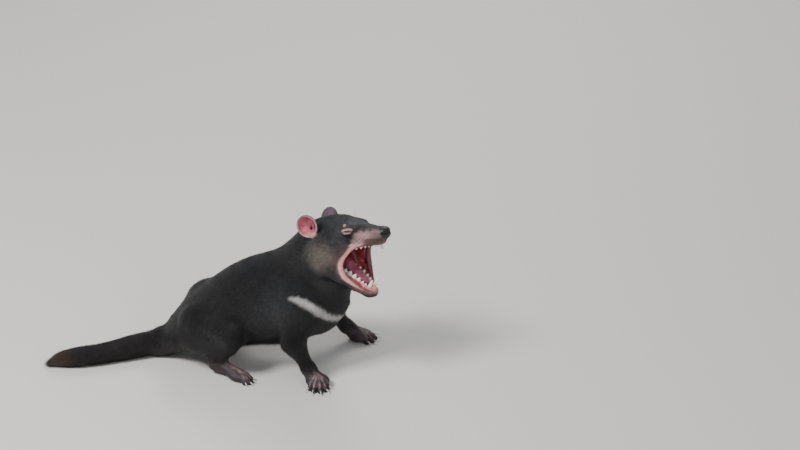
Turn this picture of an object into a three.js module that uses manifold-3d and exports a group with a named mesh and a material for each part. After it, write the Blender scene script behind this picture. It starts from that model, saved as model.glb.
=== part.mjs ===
// A Tasmanian devil at life size, crouched on its hind feet with its forelegs braced and its jaws wide open.
// Millimetres, +X towards the head, +Y to the animal's left, +Z up. The shape is a set of soft masses, each the
// size of a muscle group or bone with its skin and coat, which run together into one body. The body is then
// parted by thin cuts into the pieces that a person would name.
import * as THREE from "three";
import { mergeVertices } from "three/addons/utils/BufferGeometryUtils.js";
import Module from "manifold-3d";

const wasm = await Module();
wasm.setup();

// Driving dimensions.
const CUT = 0.3; // width of the cut between two pieces
const ORIGIN_AHEAD = 213; // from the middle of the body's box, forward to the point between the forefeet
const ORIGIN_RIGHT = 11; // and across to the right
const FLOOR_TRIM = 0.8; // the soles are pressed flat by this much
const HEAD_YAW = -16; // degrees, turned to its right
const HEAD_PITCH = 13; // degrees, raised
const HEAD_ROLL = 13; // degrees, the left ear lower
const HEAD_AT = [-34, -12, 249]; // the middle of the skull between the ears
const GAPE = 40; // degrees between the two rows of teeth
const JAW_HINGE = [10, 0, -14]; // in the head's own frame
const EYE_AT = [57, 29, 12]; // in the head's own frame, on the left side
const EYE_RADIUS = 6.5;
const EARS_AT = { right: [-6, -41, 18], left: [-10, 41, 13] }; // the root of each ear
const EAR_HEIGHT = 43;
const EAR_WIDTH = 37;
const EAR_WALL = 3.2;

const SIDES = { right: -1, left: 1 };
const rad = THREE.MathUtils.degToRad;

// Points are arrays of three numbers.
const add = (a, b) => [a[0] + b[0], a[1] + b[1], a[2] + b[2]];
const sub = (a, b) => [a[0] - b[0], a[1] - b[1], a[2] - b[2]];
const scale = (a, s) => [a[0] * s, a[1] * s, a[2] * s];
const dot = (a, b) => a[0] * b[0] + a[1] * b[1] + a[2] * b[2];
const unit = (a) => scale(a, 1 / Math.hypot(...a));
const mix = (a, b, t) => a + (b - a) * t;

// A frame is an origin with three unit axes, and inFrame gives a point's place in it.
const frameOf = (origin, matrix) => {
  const axes = [0, 1, 2].map((i) => new THREE.Vector3().setFromMatrixColumn(matrix, i).toArray());
  return { origin, axes, matrix };
};
const inFrame = (f, p) => f.axes.map((axis) => dot(sub(p, f.origin), axis));
const fromFrame = (f, p) => f.axes.reduce((sum, axis, i) => add(sum, scale(axis, p[i])), f.origin);
const turned = (yaw, pitch, roll) =>
  new THREE.Matrix4().makeRotationFromEuler(new THREE.Euler(rad(-roll), rad(-pitch), rad(yaw), "ZYX"));
const HEAD = frameOf(HEAD_AT, turned(HEAD_YAW, HEAD_PITCH, HEAD_ROLL));
const JAW = frameOf(
  fromFrame(HEAD, JAW_HINGE),
  HEAD.matrix.clone().multiply(new THREE.Matrix4().makeRotationY(rad(GAPE))),
);

// Masses: each is a function from a point to its distance outside the surface, below zero inside.
const blend = (a, b, soft) => {
  const h = Math.max(soft - Math.abs(a - b), 0) / soft;
  return Math.min(a, b) - (h * h * soft) / 4;
};
const carve = (a, b, soft) => -blend(-a, b, soft);

// An egg-shaped mass with its own half sizes, turned about the vertical and then nose up, in degrees.
function ball(centre, radii, yaw = 0, pitch = 0) {
  const f = frameOf(centre, turned(yaw, pitch, 0));
  return (p) => {
    const q = inFrame(f, p);
    const k0 = Math.hypot(q[0] / radii[0], q[1] / radii[1], q[2] / radii[2]);
    const k1 = Math.hypot(q[0] / radii[0] ** 2, q[1] / radii[1] ** 2, q[2] / radii[2] ** 2);
    return k1 > 0 ? (k0 * (k0 - 1)) / k1 : -Math.min(...radii);
  };
}

// A round bone from one point to another, with a radius at each end.
function bone(from, fromRadius, to, toRadius) {
  const along = sub(to, from);
  const length2 = dot(along, along);
  return (p) => {
    const q = sub(p, from);
    const t = Math.min(1, Math.max(0, dot(q, along) / length2));
    return Math.hypot(...sub(q, scale(along, t))) - mix(fromRadius, toRadius, t);
  };
}

// A chain of bones through joints [x, y, z, radius].
function chain(joints, soft) {
  const bones = joints.slice(1).map((to, i) => bone(joints[i], joints[i][3], to, to[3]));
  return (p) => bones.map((b) => b(p)).reduce((a, b) => blend(a, b, soft));
}

const together = (masses, soft) => (p) => masses.reduce((d, m) => blend(d, m(p), soft), Infinity);
const within = (frame, mass) => (p) => mass(inFrame(frame, p));
const mirrored = (mass) => (p) => mass([p[0], -p[1], p[2]]);
const bothSides = (mass) => (p) => mass([p[0], Math.abs(p[1]), p[2]]);

// The trunk: oval girths from the tail's root to the breast, each [x, middle y, middle z, half width and
// half height].
const GIRTHS = [
  [-326, 0, 24, 20, 20],
  [-306, 0, 41, 38, 33],
  [-280, 0, 60, 56, 49],
  [-240, 0, 83, 69, 60],
  [-200, 0, 103, 74, 71],
  [-155, 0, 117, 76, 79],
  [-110, -2, 122, 73, 80],
  [-70, -4, 125, 65, 76],
  [-36, -6, 125, 51, 58],
  [-12, -8, 122, 28, 34],
];
const girthAt = (x) => {
  const last = GIRTHS.length - 1;
  const i = Math.min(last - 1, Math.max(0, GIRTHS.findIndex((g) => g[0] > x) - 1));
  const k = x >= GIRTHS[last][0] ? last - 1 : i;
  const t = Math.min(1, Math.max(0, (x - GIRTHS[k][0]) / (GIRTHS[k + 1][0] - GIRTHS[k][0])));
  const before = GIRTHS[Math.max(0, k - 1)];
  const after = GIRTHS[Math.min(last, k + 2)];
  // Catmull and Rom's curve through the girths.
  return GIRTHS[k].map((b, n) => {
    const [a, c, d] = [before[n], GIRTHS[k + 1][n], after[n]];
    return b + 0.5 * t * (c - a + t * (2 * a - 5 * b + 4 * c - d + t * (3 * (b - c) + d - a)));
  });
};
function trunk(p) {
  const [, y, z, w, h] = girthAt(p[0]);
  const q = Math.hypot((p[1] - y) / w, (p[2] - z) / h);
  const ends = Math.max(GIRTHS[0][0] - p[0], p[0] - GIRTHS[GIRTHS.length - 1][0], 0);
  return Math.hypot(Math.max((q - 1) * Math.sqrt(w * h), 0), ends) + Math.min((q - 1) * Math.sqrt(w * h), 0);
}

// The neck and throat, and the tail that lies along the floor.
const neck = together(
  [bone([-92, -2, 152], 60, [-48, -9, 212], 52), bone([-42, -6, 138], 48, [-18, -20, 182], 40)],
  30,
);
const TAIL = [
  [-318, 1, 25, 23],
  [-348, -9, 22, 21.5],
  [-374, -22, 21, 20.5],
  [-400, -35, 19, 19],
  [-430, -50, 18, 18],
  [-462, -61, 17, 17],
  [-488, -66, 13.5, 13],
  [-504, -68, 9, 8],
];
const tail = chain(TAIL, 14);

// A foreleg: upper arm, forearm and a broad hand of five toes, which point along its aim.
const legOf = (names, joints, aim) => {
  const leg = Object.fromEntries(names.map((name, i) => [name, joints[i]]));
  return { ...leg, aim };
};
const FORE_JOINTS = ["shoulder", "elbow", "wrist", "hand"];
const FORELEGS = {
  right: legOf(FORE_JOINTS, [[-70, -52, 128], [-82, -76, 76], [-55, -82, 28], [-38, -93, 12]], -74),
  left: legOf(FORE_JOINTS, [[-66, 52, 128], [-48, 74, 80], [-8, 80, 29], [14, 83, 12]], 6),
};
const FORE_FAN = [-50, -25, 0, 24, 48]; // degrees from the hand's aim, thumb side first on the right hand
const FORE_REACH = [21, 26, 28, 26, 21]; // from the middle of the hand to each toe's tip
// A hind leg, folded: thigh, shank and a long flat foot of four toes.
const HIND_JOINTS = ["hip", "knee", "heel", "sole"];
const HINDLEGS = {
  right: legOf(HIND_JOINTS, [[-248, -42, 86], [-192, -68, 82], [-220, -62, 20], [-178, -84, 10]], -30),
  left: legOf(HIND_JOINTS, [[-248, 42, 86], [-192, 68, 82], [-221, 62, 20], [-180, 82, 10]], 26),
};
const HIND_FAN = [-24, -8, 8, 24];
const HIND_REACH = [24, 28, 27, 23];

const heading = (degrees) => [Math.cos(rad(degrees)), Math.sin(rad(degrees)), 0];
const TOE_RADIUS = 5.6;
const TOE_TIP_RADIUS = 4.6;

// The toes of one foot, each [root, tip].
function toesOf(middle, aim, fan, reach) {
  return fan.map((angle, i) => {
    const way = heading(aim + angle);
    const root = add(middle, add(scale(way, 7), [0, 0, -1]));
    return [root, add([middle[0], middle[1], TOE_TIP_RADIUS], scale(way, reach[i]))];
  });
}
const toeMass = ([root, tip]) => {
  const knuckle = add(scale(add(root, tip), 0.5), [0, 0, 3.2]);
  return chain([[...root, 7], [...knuckle, TOE_RADIUS], [...tip, TOE_TIP_RADIUS]], 3);
};
const foreToes = (leg) => toesOf(leg.hand, leg.aim, FORE_FAN, FORE_REACH);
const hindToes = (leg) => toesOf(leg.sole, leg.aim, HIND_FAN, HIND_REACH);

function foreleg({ shoulder, elbow, wrist, hand, aim }) {
  const arm = together(
    [
      ball(add(shoulder, [-6, 0, 4]), [36, 24, 48]),
      chain([[...shoulder, 27], [...elbow, 18.5]], 10),
      chain([[...elbow, 18], [...wrist, 12.5]], 10),
    ],
    22,
  );
  const palm = ball([hand[0], hand[1], 11], [20, 21, 11], aim);
  const link = bone(wrist, 13, hand, 11);
  return (p) => blend(blend(arm(p), link(p), 8), palm(p), 8);
}
function hindleg({ hip, knee, heel, sole, aim }) {
  const haunch = ball([-230, hip[1] * 1.1, 78], [60, 36, 50], 0, 14);
  const thigh = bone(hip, 34, knee, 28);
  const shank = bone(add(knee, [-4, 0, -6]), 24, heel, 13);
  const middle = bone(heel, 13, sole, 9.5);
  const pad = ball([sole[0], sole[1], 9], [20, 16, 9], aim);
  return (p) => blend(blend(together([haunch, thigh, shank], 18)(p), middle(p), 9), pad(p), 7);
}

// The head, in its own frame: +x out along the muzzle, +z to the crown.
const upperHead = together(
  [
    ball([10, 0, 4], [50, 40, 31]),
    ball([30, 0, 13], [40, 29, 22]),
    bone([40, 0, 8], 25, [82, 0, 4], 18),
    bone([76, 0, 3], 18, [106, 0, 1], 14.5),
    bothSides(ball([26, 33, -12], [33, 21, 25])),
    bothSides(ball([60, 22, 16], [15, 10, 8])),
    bothSides(ball([86, 13, -5], [24, 12, 11])),
    bothSides(ball([8, 34, -30], [27, 20, 30])),
  ],
  12,
);
const nosePad = ball([115, 0, 2.5], [11, 13.5, 11.5]);

// The lower jaw, in its own frame: its row of teeth is level along +x.
const lowerJaw = together(
  [
    bothSides(chain([[8, 36, -8, 17], [50, 27, -22, 12], [78, 18, -23, 9.5], [102, 7, -23, 9]], 8)),
    ball([104, 0, -22], [14, 13, 9.5]),
    ball([58, 0, -26], [48, 22, 8]),
  ],
  9,
);

// The lips that run from jaw to jaw round the corner of the mouth, with the cheek behind them.
const MOUTH_CORNER = [38, 40, -47];
const LEFT_CORNER_AHEAD = 12; // the left cheek is drawn further forward than the right
const jawToHead = (p) => inFrame(HEAD, fromFrame(JAW, p));
const lipOf = (ahead) => {
  const above = [[84, 24, -15, 4.5], [64 + ahead / 2, 31, -21, 5.5], [46 + ahead, 37, -33, 6.5]];
  const below = [[38 + 1.8 * ahead, 33, -10, 6.5], [62 + ahead / 2, 24, -13, 5.5], [86, 17, -14, 4.5]];
  const corner = [...add(MOUTH_CORNER, [ahead, 0, 0]), 7];
  return chain([...above, corner, ...below.map(([x, y, z, r]) => [...jawToHead([x, y, z]), r])], 6);
};
const lipRight = mirrored(lipOf(0));
const lipLeft = lipOf(LEFT_CORNER_AHEAD);
const lips = (p) => (p[1] > 0 ? lipLeft(p) : lipRight(p));
const cheek = bothSides(ball([20, 33, -46], [22, 13, 30], 0, 20));

// The open mouth: a wedge from the throat out between the rows of teeth, with a vault in the palate.
function mouth(p) {
  const q = inFrame(JAW, fromFrame(HEAD, p));
  const open = Math.max(p[2] + 17, -(q[2] + 14), 24 - p[0] - 0.3 * Math.abs(p[2] + 42));
  const ahead = p[1] > 0 ? LEFT_CORNER_AHEAD : 0;
  const flare = Math.min(1, Math.max(0, (p[0] - 42 - ahead) / 25));
  return -blend(-open, mix(30, 60, flare) - Math.abs(p[1]), 4);
}
const palate = ball([66, 0, -20], [42, 15, 9]);
const jawFloor = within(JAW, ball([60, 0, -12], [42, 15, 9]));
const jawInHead = (p) => lowerJaw(inFrame(JAW, fromFrame(HEAD, p)));
function headMass(p) {
  const whole = blend(blend(upperHead(p), jawInHead(p), 6), blend(lips(p), cheek(p), 8), 7);
  const hollow = blend(mouth(p), blend(palate(p), jawFloor(fromFrame(HEAD, p)), 3), 4);
  return blend(carve(whole, hollow, 3), nosePad(p), 5);
}

// The whole animal without its ears, claws, teeth, tongue and eyes.
const legs = Object.keys(SIDES).flatMap((side) => [foreleg(FORELEGS[side]), hindleg(HINDLEGS[side])]);
const torso = together([trunk, neck, tail], 26);
const headInWorld = (p) => headMass(inFrame(HEAD, p));
const toes = Object.keys(SIDES).flatMap((side) =>
  [...foreToes(FORELEGS[side]), ...hindToes(HINDLEGS[side])].map(toeMass),
);
function body(p) {
  const limbs = legs.reduce((d, leg) => blend(d, leg(p), 22), torso(p));
  const feet = p[2] < 40 ? toes.reduce((d, toe) => Math.min(d, toe(p)), Infinity) : Infinity;
  const stood = blend(limbs, feet, 3);
  const headNear = Math.hypot(...sub(p, fromFrame(HEAD, [40, 0, -30]))) < 140;
  const joined = headNear ? blend(stood, headInWorld(p), 14) : stood;
  return Math.max(joined, FLOOR_TRIM - p[2]);
}

// Moves a point that is near a surface on to it, by no more than a limit.
function onSurface(distance, point, limit) {
  const d = distance(point);
  if (Math.abs(d) > limit) return point;
  const nudge = 0.5;
  const slope = [0, 1, 2].map((m) => distance(point.map((v, i) => (i === m ? v + nudge : v))) - d);
  const steepness = Math.hypot(...slope) / nudge || 1;
  return sub(point, scale(slope, d / (steepness * steepness * nudge)));
}

// Meshing by surface nets: one vertex in each cell that the surface crosses, and one quad for each edge that
// it cuts.
function mesh(distance, low, high, step) {
  const n = [0, 1, 2].map((i) => Math.ceil((high[i] - low[i]) / step) + 1);
  const at = (i, j, k) => (k * n[1] + j) * n[0] + i;
  const value = new Float32Array(n[0] * n[1] * n[2]);
  for (let k = 0; k < n[2]; k++)
    for (let j = 0; j < n[1]; j++)
      for (let i = 0; i < n[0]; i++) {
        const edge = i === 0 || j === 0 || k === 0 || i === n[0] - 1 || j === n[1] - 1 || k === n[2] - 1;
        value[at(i, j, k)] = edge ? step : distance([low[0] + i * step, low[1] + j * step, low[2] + k * step]);
      }
  // Corners that touch only across a diagonal are joined, so that the surface never pinches to a line or point.
  const cubeCorners = [0, 1, 2, 3, 4, 5, 6, 7].map((c) => at(c & 1, (c >> 1) & 1, c >> 2));
  const squares = [0, 1, 2].map((axis) => {
    const [u, v] = [1, 2].map((turn) => at(...[0, 1, 2].map((m) => (m === (axis + turn) % 3 ? 1 : 0))));
    return [0, u, u + v, v];
  });
  const fill = (nodes) => {
    const outside = nodes.filter((node) => value[node] >= 0).sort((a, b) => value[a] - value[b]);
    value[outside[0]] = -0.05 * step;
  };
  for (let changed = true; changed; ) {
    changed = false;
    for (let k = 0; k < n[2] - 1; k++)
      for (let j = 0; j < n[1] - 1; j++)
        for (let i = 0; i < n[0] - 1; i++) {
          const here = at(i, j, k);
          for (const square of squares) {
            const inside = square.map((node) => value[here + node] < 0);
            if (inside[0] !== inside[2] || inside[1] !== inside[3] || inside[0] === inside[1]) continue;
            fill(square.map((node) => here + node));
            changed = true;
          }
          const inside = cubeCorners.map((node) => value[here + node] < 0);
          const count = inside.filter(Boolean).length;
          if (count !== 2 && count !== 6) continue;
          const odd = inside.map((v, c) => (v === (count === 2) ? c : -1)).filter((c) => c >= 0);
          if ((odd[0] ^ odd[1]) !== 7) continue;
          fill(cubeCorners.map((node) => here + node));
          changed = true;
        }
  }
  const vertex = new Map();
  const positions = [];
  const triangles = [];
  for (let k = 0; k < n[2] - 1; k++)
    for (let j = 0; j < n[1] - 1; j++)
      for (let i = 0; i < n[0] - 1; i++) {
        let crossings = 0;
        const sum = [0, 0, 0];
        for (let axis = 0; axis < 3; axis++)
          for (let corner = 0; corner < 4; corner++) {
            const a = [i, j, k];
            a[(axis + 1) % 3] += corner & 1;
            a[(axis + 2) % 3] += corner >> 1;
            const b = a.map((v, m) => (m === axis ? v + 1 : v));
            const [va, vb] = [value[at(...a)], value[at(...b)]];
            if (va < 0 === vb < 0) continue;
            const t = va / (va - vb);
            crossings++;
            for (let m = 0; m < 3; m++) sum[m] += a[m] + (m === axis ? t : 0);
          }
        if (!crossings) continue;
        vertex.set(at(i, j, k), positions.length / 3);
        const point = [0, 1, 2].map((m) => low[m] + (step * sum[m]) / crossings);
        const [x, y, z] = onSurface(distance, point, 0.3 * step);
        positions.push(x, y, Math.max(z, FLOOR_TRIM));
      }
  for (let k = 0; k < n[2]; k++)
    for (let j = 0; j < n[1]; j++)
      for (let i = 0; i < n[0]; i++)
        for (let axis = 0; axis < 3; axis++) {
          const a = [i, j, k];
          const b = a.map((v, m) => (m === axis ? v + 1 : v));
          if (b[axis] >= n[axis]) continue;
          const [va, vb] = [value[at(...a)], value[at(...b)]];
          if (va < 0 === vb < 0) continue;
          const cells = [[0, 0], [1, 0], [1, 1], [0, 1]].map(([du, dv]) => {
            const c = [...a];
            c[(axis + 1) % 3] -= du;
            c[(axis + 2) % 3] -= dv;
            return vertex.get(at(...c));
          });
          const [q0, q1, q2, q3] = va < 0 ? cells : cells.reverse();
          triangles.push(q0, q1, q2, q0, q2, q3);
        }
  return new wasm.Manifold(
    new wasm.Mesh({
      numProp: 3,
      vertProperties: new Float32Array(positions),
      triVerts: new Uint32Array(triangles),
    }),
  );
}

// A three.js geometry as a solid, and back.
function solidOf(geometry) {
  const bare = new THREE.BufferGeometry().setAttribute("position", geometry.getAttribute("position"));
  bare.setIndex(geometry.index);
  const merged = mergeVertices(bare, 1e-4);
  return new wasm.Manifold(
    new wasm.Mesh({
      numProp: 3,
      vertProperties: merged.attributes.position.array,
      triVerts: new Uint32Array(merged.index.array),
    }),
  );
}
function geometryOf(solid) {
  const { vertProperties, triVerts, numProp, numVert } = solid.getMesh();
  const position = new Float32Array(numVert * 3);
  for (let i = 0; i < numVert; i++) position.set(vertProperties.subarray(i * numProp, i * numProp + 3), i * 3);
  const geometry = new THREE.BufferGeometry().setAttribute("position", new THREE.BufferAttribute(position, 3));
  return geometry.setIndex(new THREE.BufferAttribute(triVerts, 1));
}

const shifted = (solid, way) => solidOf(geometryOf(solid).translate(...way));

// Everything on the far side of a plane, as a very large box that starts half a cut beyond it.
const REACH = 1200;
function beyond(point, normal) {
  const way = unit(normal);
  const up = new THREE.Vector3(0, 0, 1);
  const turn = new THREE.Quaternion().setFromUnitVectors(up, new THREE.Vector3(...way));
  const centre = add(point, scale(way, REACH / 2 + CUT / 2));
  return solidOf(new THREE.BoxGeometry(REACH, REACH, REACH).applyQuaternion(turn).translate(...centre));
}
const split = (solid, point, normal) => [
  solid.intersect(beyond(point, normal)),
  solid.intersect(beyond(point, scale(normal, -1))),
];
const largest = (solid) => solid.decompose().sort((a, b) => b.volume() - a.volume())[0];

// The pieces, by name.
const pieces = new Map();
const keep = (name, solid) => pieces.set(name, largest(solid));

// Cutting planes between the head, neck and trunk.
const planeInHead = (point, normal) => ({
  point: fromFrame(HEAD, point),
  normal: sub(fromFrame(HEAD, normal), HEAD.origin),
});
const NAPE = planeInHead([-16, 0, 0], [0.93, 0, 0.37]);
const JAW_CUT = planeInHead([MOUTH_CORNER[0], 0, MOUTH_CORNER[2]], [0.36, 0, 0.93]);
const COLLAR = { point: [-74, 0, 176], normal: [0.66, -0.05, 0.75] };
const MIDDLE = { point: [-168, 0, 0], normal: [1, 0, 0] };
const TAIL_ROOT = { point: [-322, 0, 0], normal: [1, -0.12, 0.35] };

// Grid steps: fine on the head and feet, coarse on the trunk.
const HEAD_STEP = 9.8;
const TRUNK_STEP = 19;
const LIMB_STEP = 16;
const FOREARM_STEP = 10.5;
const FOOT_STEP = 8.2;
const TAIL_STEP = 12;

const torsoMesh = mesh(body, [-392, -125, -6], [60, 125, 312], TRUNK_STEP);
const headMesh = mesh(body, [-100, -120, 95], [110, 80, 320], HEAD_STEP);
const tailMesh = mesh(body, [-530, -105, -6], [-290, 60, 90], TAIL_STEP);

// The tail in three lengths.
const [, tailWhole] = split(tailMesh, TAIL_ROOT.point, TAIL_ROOT.normal);
const [tailBase, tailRest] = split(tailWhole, TAIL[3], [0.9, 0.42, 0]);
const [tailMiddle, tailEnd] = split(tailRest, TAIL[5], [0.95, 0.3, 0]);
keep("tail_base", tailBase);
keep("tail_middle", tailMiddle);
keep("tail_end", tailEnd);

// The trunk without tail, neck or legs.
const [frontAndNeck, rear] = split(torsoMesh, MIDDLE.point, MIDDLE.normal);
const [neckAndHead, front] = split(frontAndNeck, COLLAR.point, COLLAR.normal);
const [, neckPiece] = split(neckAndHead, NAPE.point, NAPE.normal);
const [rump] = split(rear, TAIL_ROOT.point, TAIL_ROOT.normal);

// A box round a limb's root, given by its middle and size, for the piece and, grown, for what it leaves.
const region = (centre, size, growth) =>
  solidOf(new THREE.BoxGeometry(...size.map((v) => v + growth)).translate(...centre));
let forequarters = front;
let hindquarters = rump;
for (const [side, sign] of Object.entries(SIDES)) {
  const arm = FORELEGS[side];
  const leg = HINDLEGS[side];
  const shoulderBox = [add(arm.shoulder, [-4, sign * 56, -42]), [96, 130, 170]];
  const haunchBox = [[-250.7, sign * 118, 66], [165, 150, 190]];

  // The foreleg, cut at the elbow and wrist.
  const armMesh = mesh(body, [-150, sign < 0 ? -160 : 28, -6], [90, sign < 0 ? -28 : 140, 190], LIMB_STEP);
  const whole = armMesh.intersect(region(...shoulderBox, 0));
  forequarters = forequarters.subtract(region(...shoulderBox, 2 * CUT));
  const elbowWay = unit(sub(arm.wrist, arm.shoulder));
  const [, upper] = split(whole, arm.elbow, elbowWay);
  keep(`upper_arm_${side}`, split(upper, COLLAR.point, COLLAR.normal)[1]);
  const low = [Math.min(arm.elbow[0], arm.hand[0]) - 45, arm.hand[1] - 45, -6];
  const high = [Math.max(arm.elbow[0], arm.hand[0]) + 45, arm.hand[1] + 62, 110];
  const handWay = unit(sub(arm.hand, arm.wrist));
  const [belowElbow] = split(mesh(body, low, high, FOREARM_STEP), arm.elbow, elbowWay);
  const [, forearm] = split(belowElbow, arm.wrist, handWay);
  const [hand] = split(mesh(body, low, [high[0], high[1], 50], FOOT_STEP), arm.wrist, handWay);
  const sideWall = beyond([0, arm.shoulder[1] - sign * 9, 0], [0, sign, 0]);
  keep(`forearm_${side}`, forearm.intersect(sideWall));
  keep(`forepaw_${side}`, hand.intersect(sideWall));

  // The hind leg: a haunch with its folded shank, cut above the heel.
  const haunchMesh = mesh(body, [-350, sign < 0 ? -140 : 30, -6], [-120, sign < 0 ? -30 : 140, 190], LIMB_STEP);
  const folded = haunchMesh.intersect(region(...haunchBox, 0));
  hindquarters = hindquarters.subtract(region(...haunchBox, 2 * CUT));
  const ankle = { point: add(leg.heel, [0, 0, 15]), normal: [-0.18, 0, 1] };
  const [thigh] = split(folded, ankle.point, ankle.normal);
  const shin = { point: [leg.knee[0] - 14, leg.knee[1], leg.knee[2] - 22], normal: [-0.5, 0, 0.86] };
  const [upperLeg, shank] = split(thigh, shin.point, shin.normal);
  keep(`thigh_${side}`, upperLeg);
  keep(`shank_${side}`, shank);
  const footLow = [leg.heel[0] - 40, Math.min(leg.heel[1], leg.sole[1]) - 46, -6];
  const footHigh = [leg.sole[0] + 46, Math.max(leg.heel[1], leg.sole[1]) + 46, 70];
  const [, foot] = split(mesh(body, footLow, footHigh, FOOT_STEP), ankle.point, ankle.normal);
  keep(`hind_foot_${side}`, foot.intersect(sideWall));
}
keep("trunk_front", forequarters);
keep("trunk_rear", hindquarters);

// The head: the skull and muzzle above, the lower jaw below, and the nose pad in front.
const [headWhole] = split(headMesh, NAPE.point, NAPE.normal);
let [skull, jaw] = split(headWhole, JAW_CUT.point, JAW_CUT.normal);
const NOSE_CUT = planeInHead([108, 0, 0], [0.97, 0, 0.24]);
const [nose, upper] = split(skull, NOSE_CUT.point, NOSE_CUT.normal);
skull = upper;
keep("nose", nose);

// Places a geometry that is modelled in the head's or jaw's frame.
const placed = (geometry, frame) => geometry.applyMatrix4(frame.matrix).translate(...frame.origin);

// Each eyeball sits in a socket cut just clear of it.
const eyeball = (radius) => new THREE.SphereGeometry(radius, 10, 6);
for (const [side, sign] of Object.entries(SIDES)) {
  const at = fromFrame(HEAD, [EYE_AT[0], sign * EYE_AT[1], EYE_AT[2]]);
  skull = skull.subtract(solidOf(eyeball(EYE_RADIUS + CUT).translate(...at)));
  keep(`eye_${side}`, solidOf(eyeball(EYE_RADIUS).translate(...at)));
}

// Ears: round cups of thin skin that open outwards and forwards.
function earSolid(side, sign) {
  const cup = (radius, lift) => {
    const g = new THREE.SphereGeometry(radius, 12, 6);
    return g.scale(EAR_WIDTH / 2 / 22, 0.52, EAR_HEIGHT / 2 / 22).translate(0, sign * lift, 0);
  };
  const shell = solidOf(cup(22, 0)).subtract(solidOf(cup(22 - EAR_WALL, 1.2)));
  const open = solidOf(new THREE.BoxGeometry(80, 40, 80).translate(0, sign * (20 + 1.5), 0));
  const lifted = geometryOf(shell.subtract(open)).applyMatrix4(turned(sign * -12, 0, sign * 16));
  return solidOf(placed(lifted.translate(...add(EARS_AT[side], [0, sign * 8, 9])), HEAD));
}
for (const [side, sign] of Object.entries(SIDES)) {
  const ear = earSolid(side, sign);
  const out = sub(fromFrame(HEAD, [0, sign * 0.8, 0.6]), HEAD.origin);
  const clear = [skull, neckPiece].flatMap((solid) => [solid, shifted(solid, scale(out, CUT))]);
  keep(`ear_${side}`, clear.reduce((left, solid) => left.subtract(solid), ear));
}

// Teeth: cones set in each jaw by a loop, from the incisors back to the molars.
// Each kind is [how many, first x, last x, radius, height] along its half of the row.
const UPPER_TEETH = [[3, 109, 103, 1.5, 4], [1, 96, 96, 3.1, 14], [2, 88, 82, 2.2, 5], [4, 74, 48, 3.6, 6.5]];
const LOWER_TEETH = [[3, 109, 105, 1.4, 4], [1, 101, 101, 3.1, 14], [2, 92, 86, 2.2, 5], [4, 77, 47, 3.6, 8]];
const ROW_LENGTH = 71; // from where the row starts to curve in, to its front
const rowHalfWidth = (x, wide) => wide * Math.sqrt(Math.max(0.03, 1 - (Math.max(0, x - 40) / ROW_LENGTH) ** 2));
function teethOf(kinds, frame, gum, up) {
  const made = [];
  for (const [count, first, last, radius, height] of kinds)
    for (let i = 0; i < count; i++)
      for (const sign of [-1, 1]) {
        const x = count > 1 ? mix(first, last, i / (count - 1)) : first;
        const y = sign * rowHalfWidth(x, up < 0 ? 22 : 20);
        const cone = new THREE.ConeGeometry(radius, height + 5, 4).rotateX((up * Math.PI) / 2);
        made.push(solidOf(placed(cone.translate(x, y, gum + (up * (height - 5)) / 2), frame)));
      }
  return made;
}
for (const tooth of teethOf(UPPER_TEETH, HEAD, -15, -1)) skull = skull.add(tooth);
for (const tooth of teethOf(LOWER_TEETH, JAW, -15, 1)) jaw = jaw.add(tooth);

// The tongue lies along the floor of the lower jaw, clear of it.
const tongueMass = (grow) => chain([[30, 0, -8, 10 + grow], [62, 0, -13, 9 + grow], [86, 0, -17, 6 + grow]], 4);
const inJaw = (mass) => (p) => mass(inFrame(JAW, p));
const tongueMiddle = fromFrame(JAW, [58, 0, -12]);
const tongueBox = [sub(tongueMiddle, [60, 60, 60]), add(tongueMiddle, [60, 60, 60])];
const TONGUE_STEP = 8;
const tongue = mesh(inJaw(tongueMass(0)), ...tongueBox, TONGUE_STEP);
const bed = mesh(inJaw(tongueMass(0.8)), ...tongueBox, TONGUE_STEP);
jaw = jaw.subtract(bed);
skull = skull.subtract(bed);
keep("tongue", tongue.intersect(beyond(NAPE.point, NAPE.normal)));
keep("head", skull);
keep("lower_jaw", jaw);
keep("neck", neckPiece.subtract(bed));

// Claws: curved horn points, one in the tip of each toe. A socket is the same shape, grown by a cut's width.
const CLAW_RADIUS = 1.9;
const CLAW_ROOT = 2.5; // the part inside the toe
const CLAW_DROOP = 6;
function claw([root, tip], length, growth) {
  const way = unit([tip[0] - root[0], tip[1] - root[1], 0]);
  const across = [way[1], -way[0], 0];
  const cone = new THREE.ConeGeometry(CLAW_RADIUS + growth, 1, 5, 2);
  const position = cone.getAttribute("position");
  for (let i = 0; i < position.count; i++) {
    const t = position.getY(i) + 0.5;
    const out = mix(-CLAW_ROOT - growth, length + growth, t);
    const lift = 1.6 + position.getZ(i) + 2.4 * t - CLAW_DROOP * t * t;
    const point = add(add(tip, [0, 0, lift]), add(scale(way, out), scale(across, position.getX(i))));
    position.setXYZ(i, ...point);
  }
  return solidOf(cone);
}
const FORE_CLAW = 14;
const HIND_CLAW = 11;
for (const side of Object.keys(SIDES)) {
  const feet = [
    ["fore", foreToes(FORELEGS[side]), `forepaw_${side}`, FORE_CLAW],
    ["hind", hindToes(HINDLEGS[side]), `hind_foot_${side}`, HIND_CLAW],
  ];
  for (const [which, footToes, pawName, length] of feet)
    footToes.forEach((toe, i) => {
      keep(`claw_${which}_${side}_${i + 1}`, claw(toe, length, 0));
      pieces.set(pawName, largest(pieces.get(pawName).subtract(claw(toe, length, CUT))));
    });
}

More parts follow.
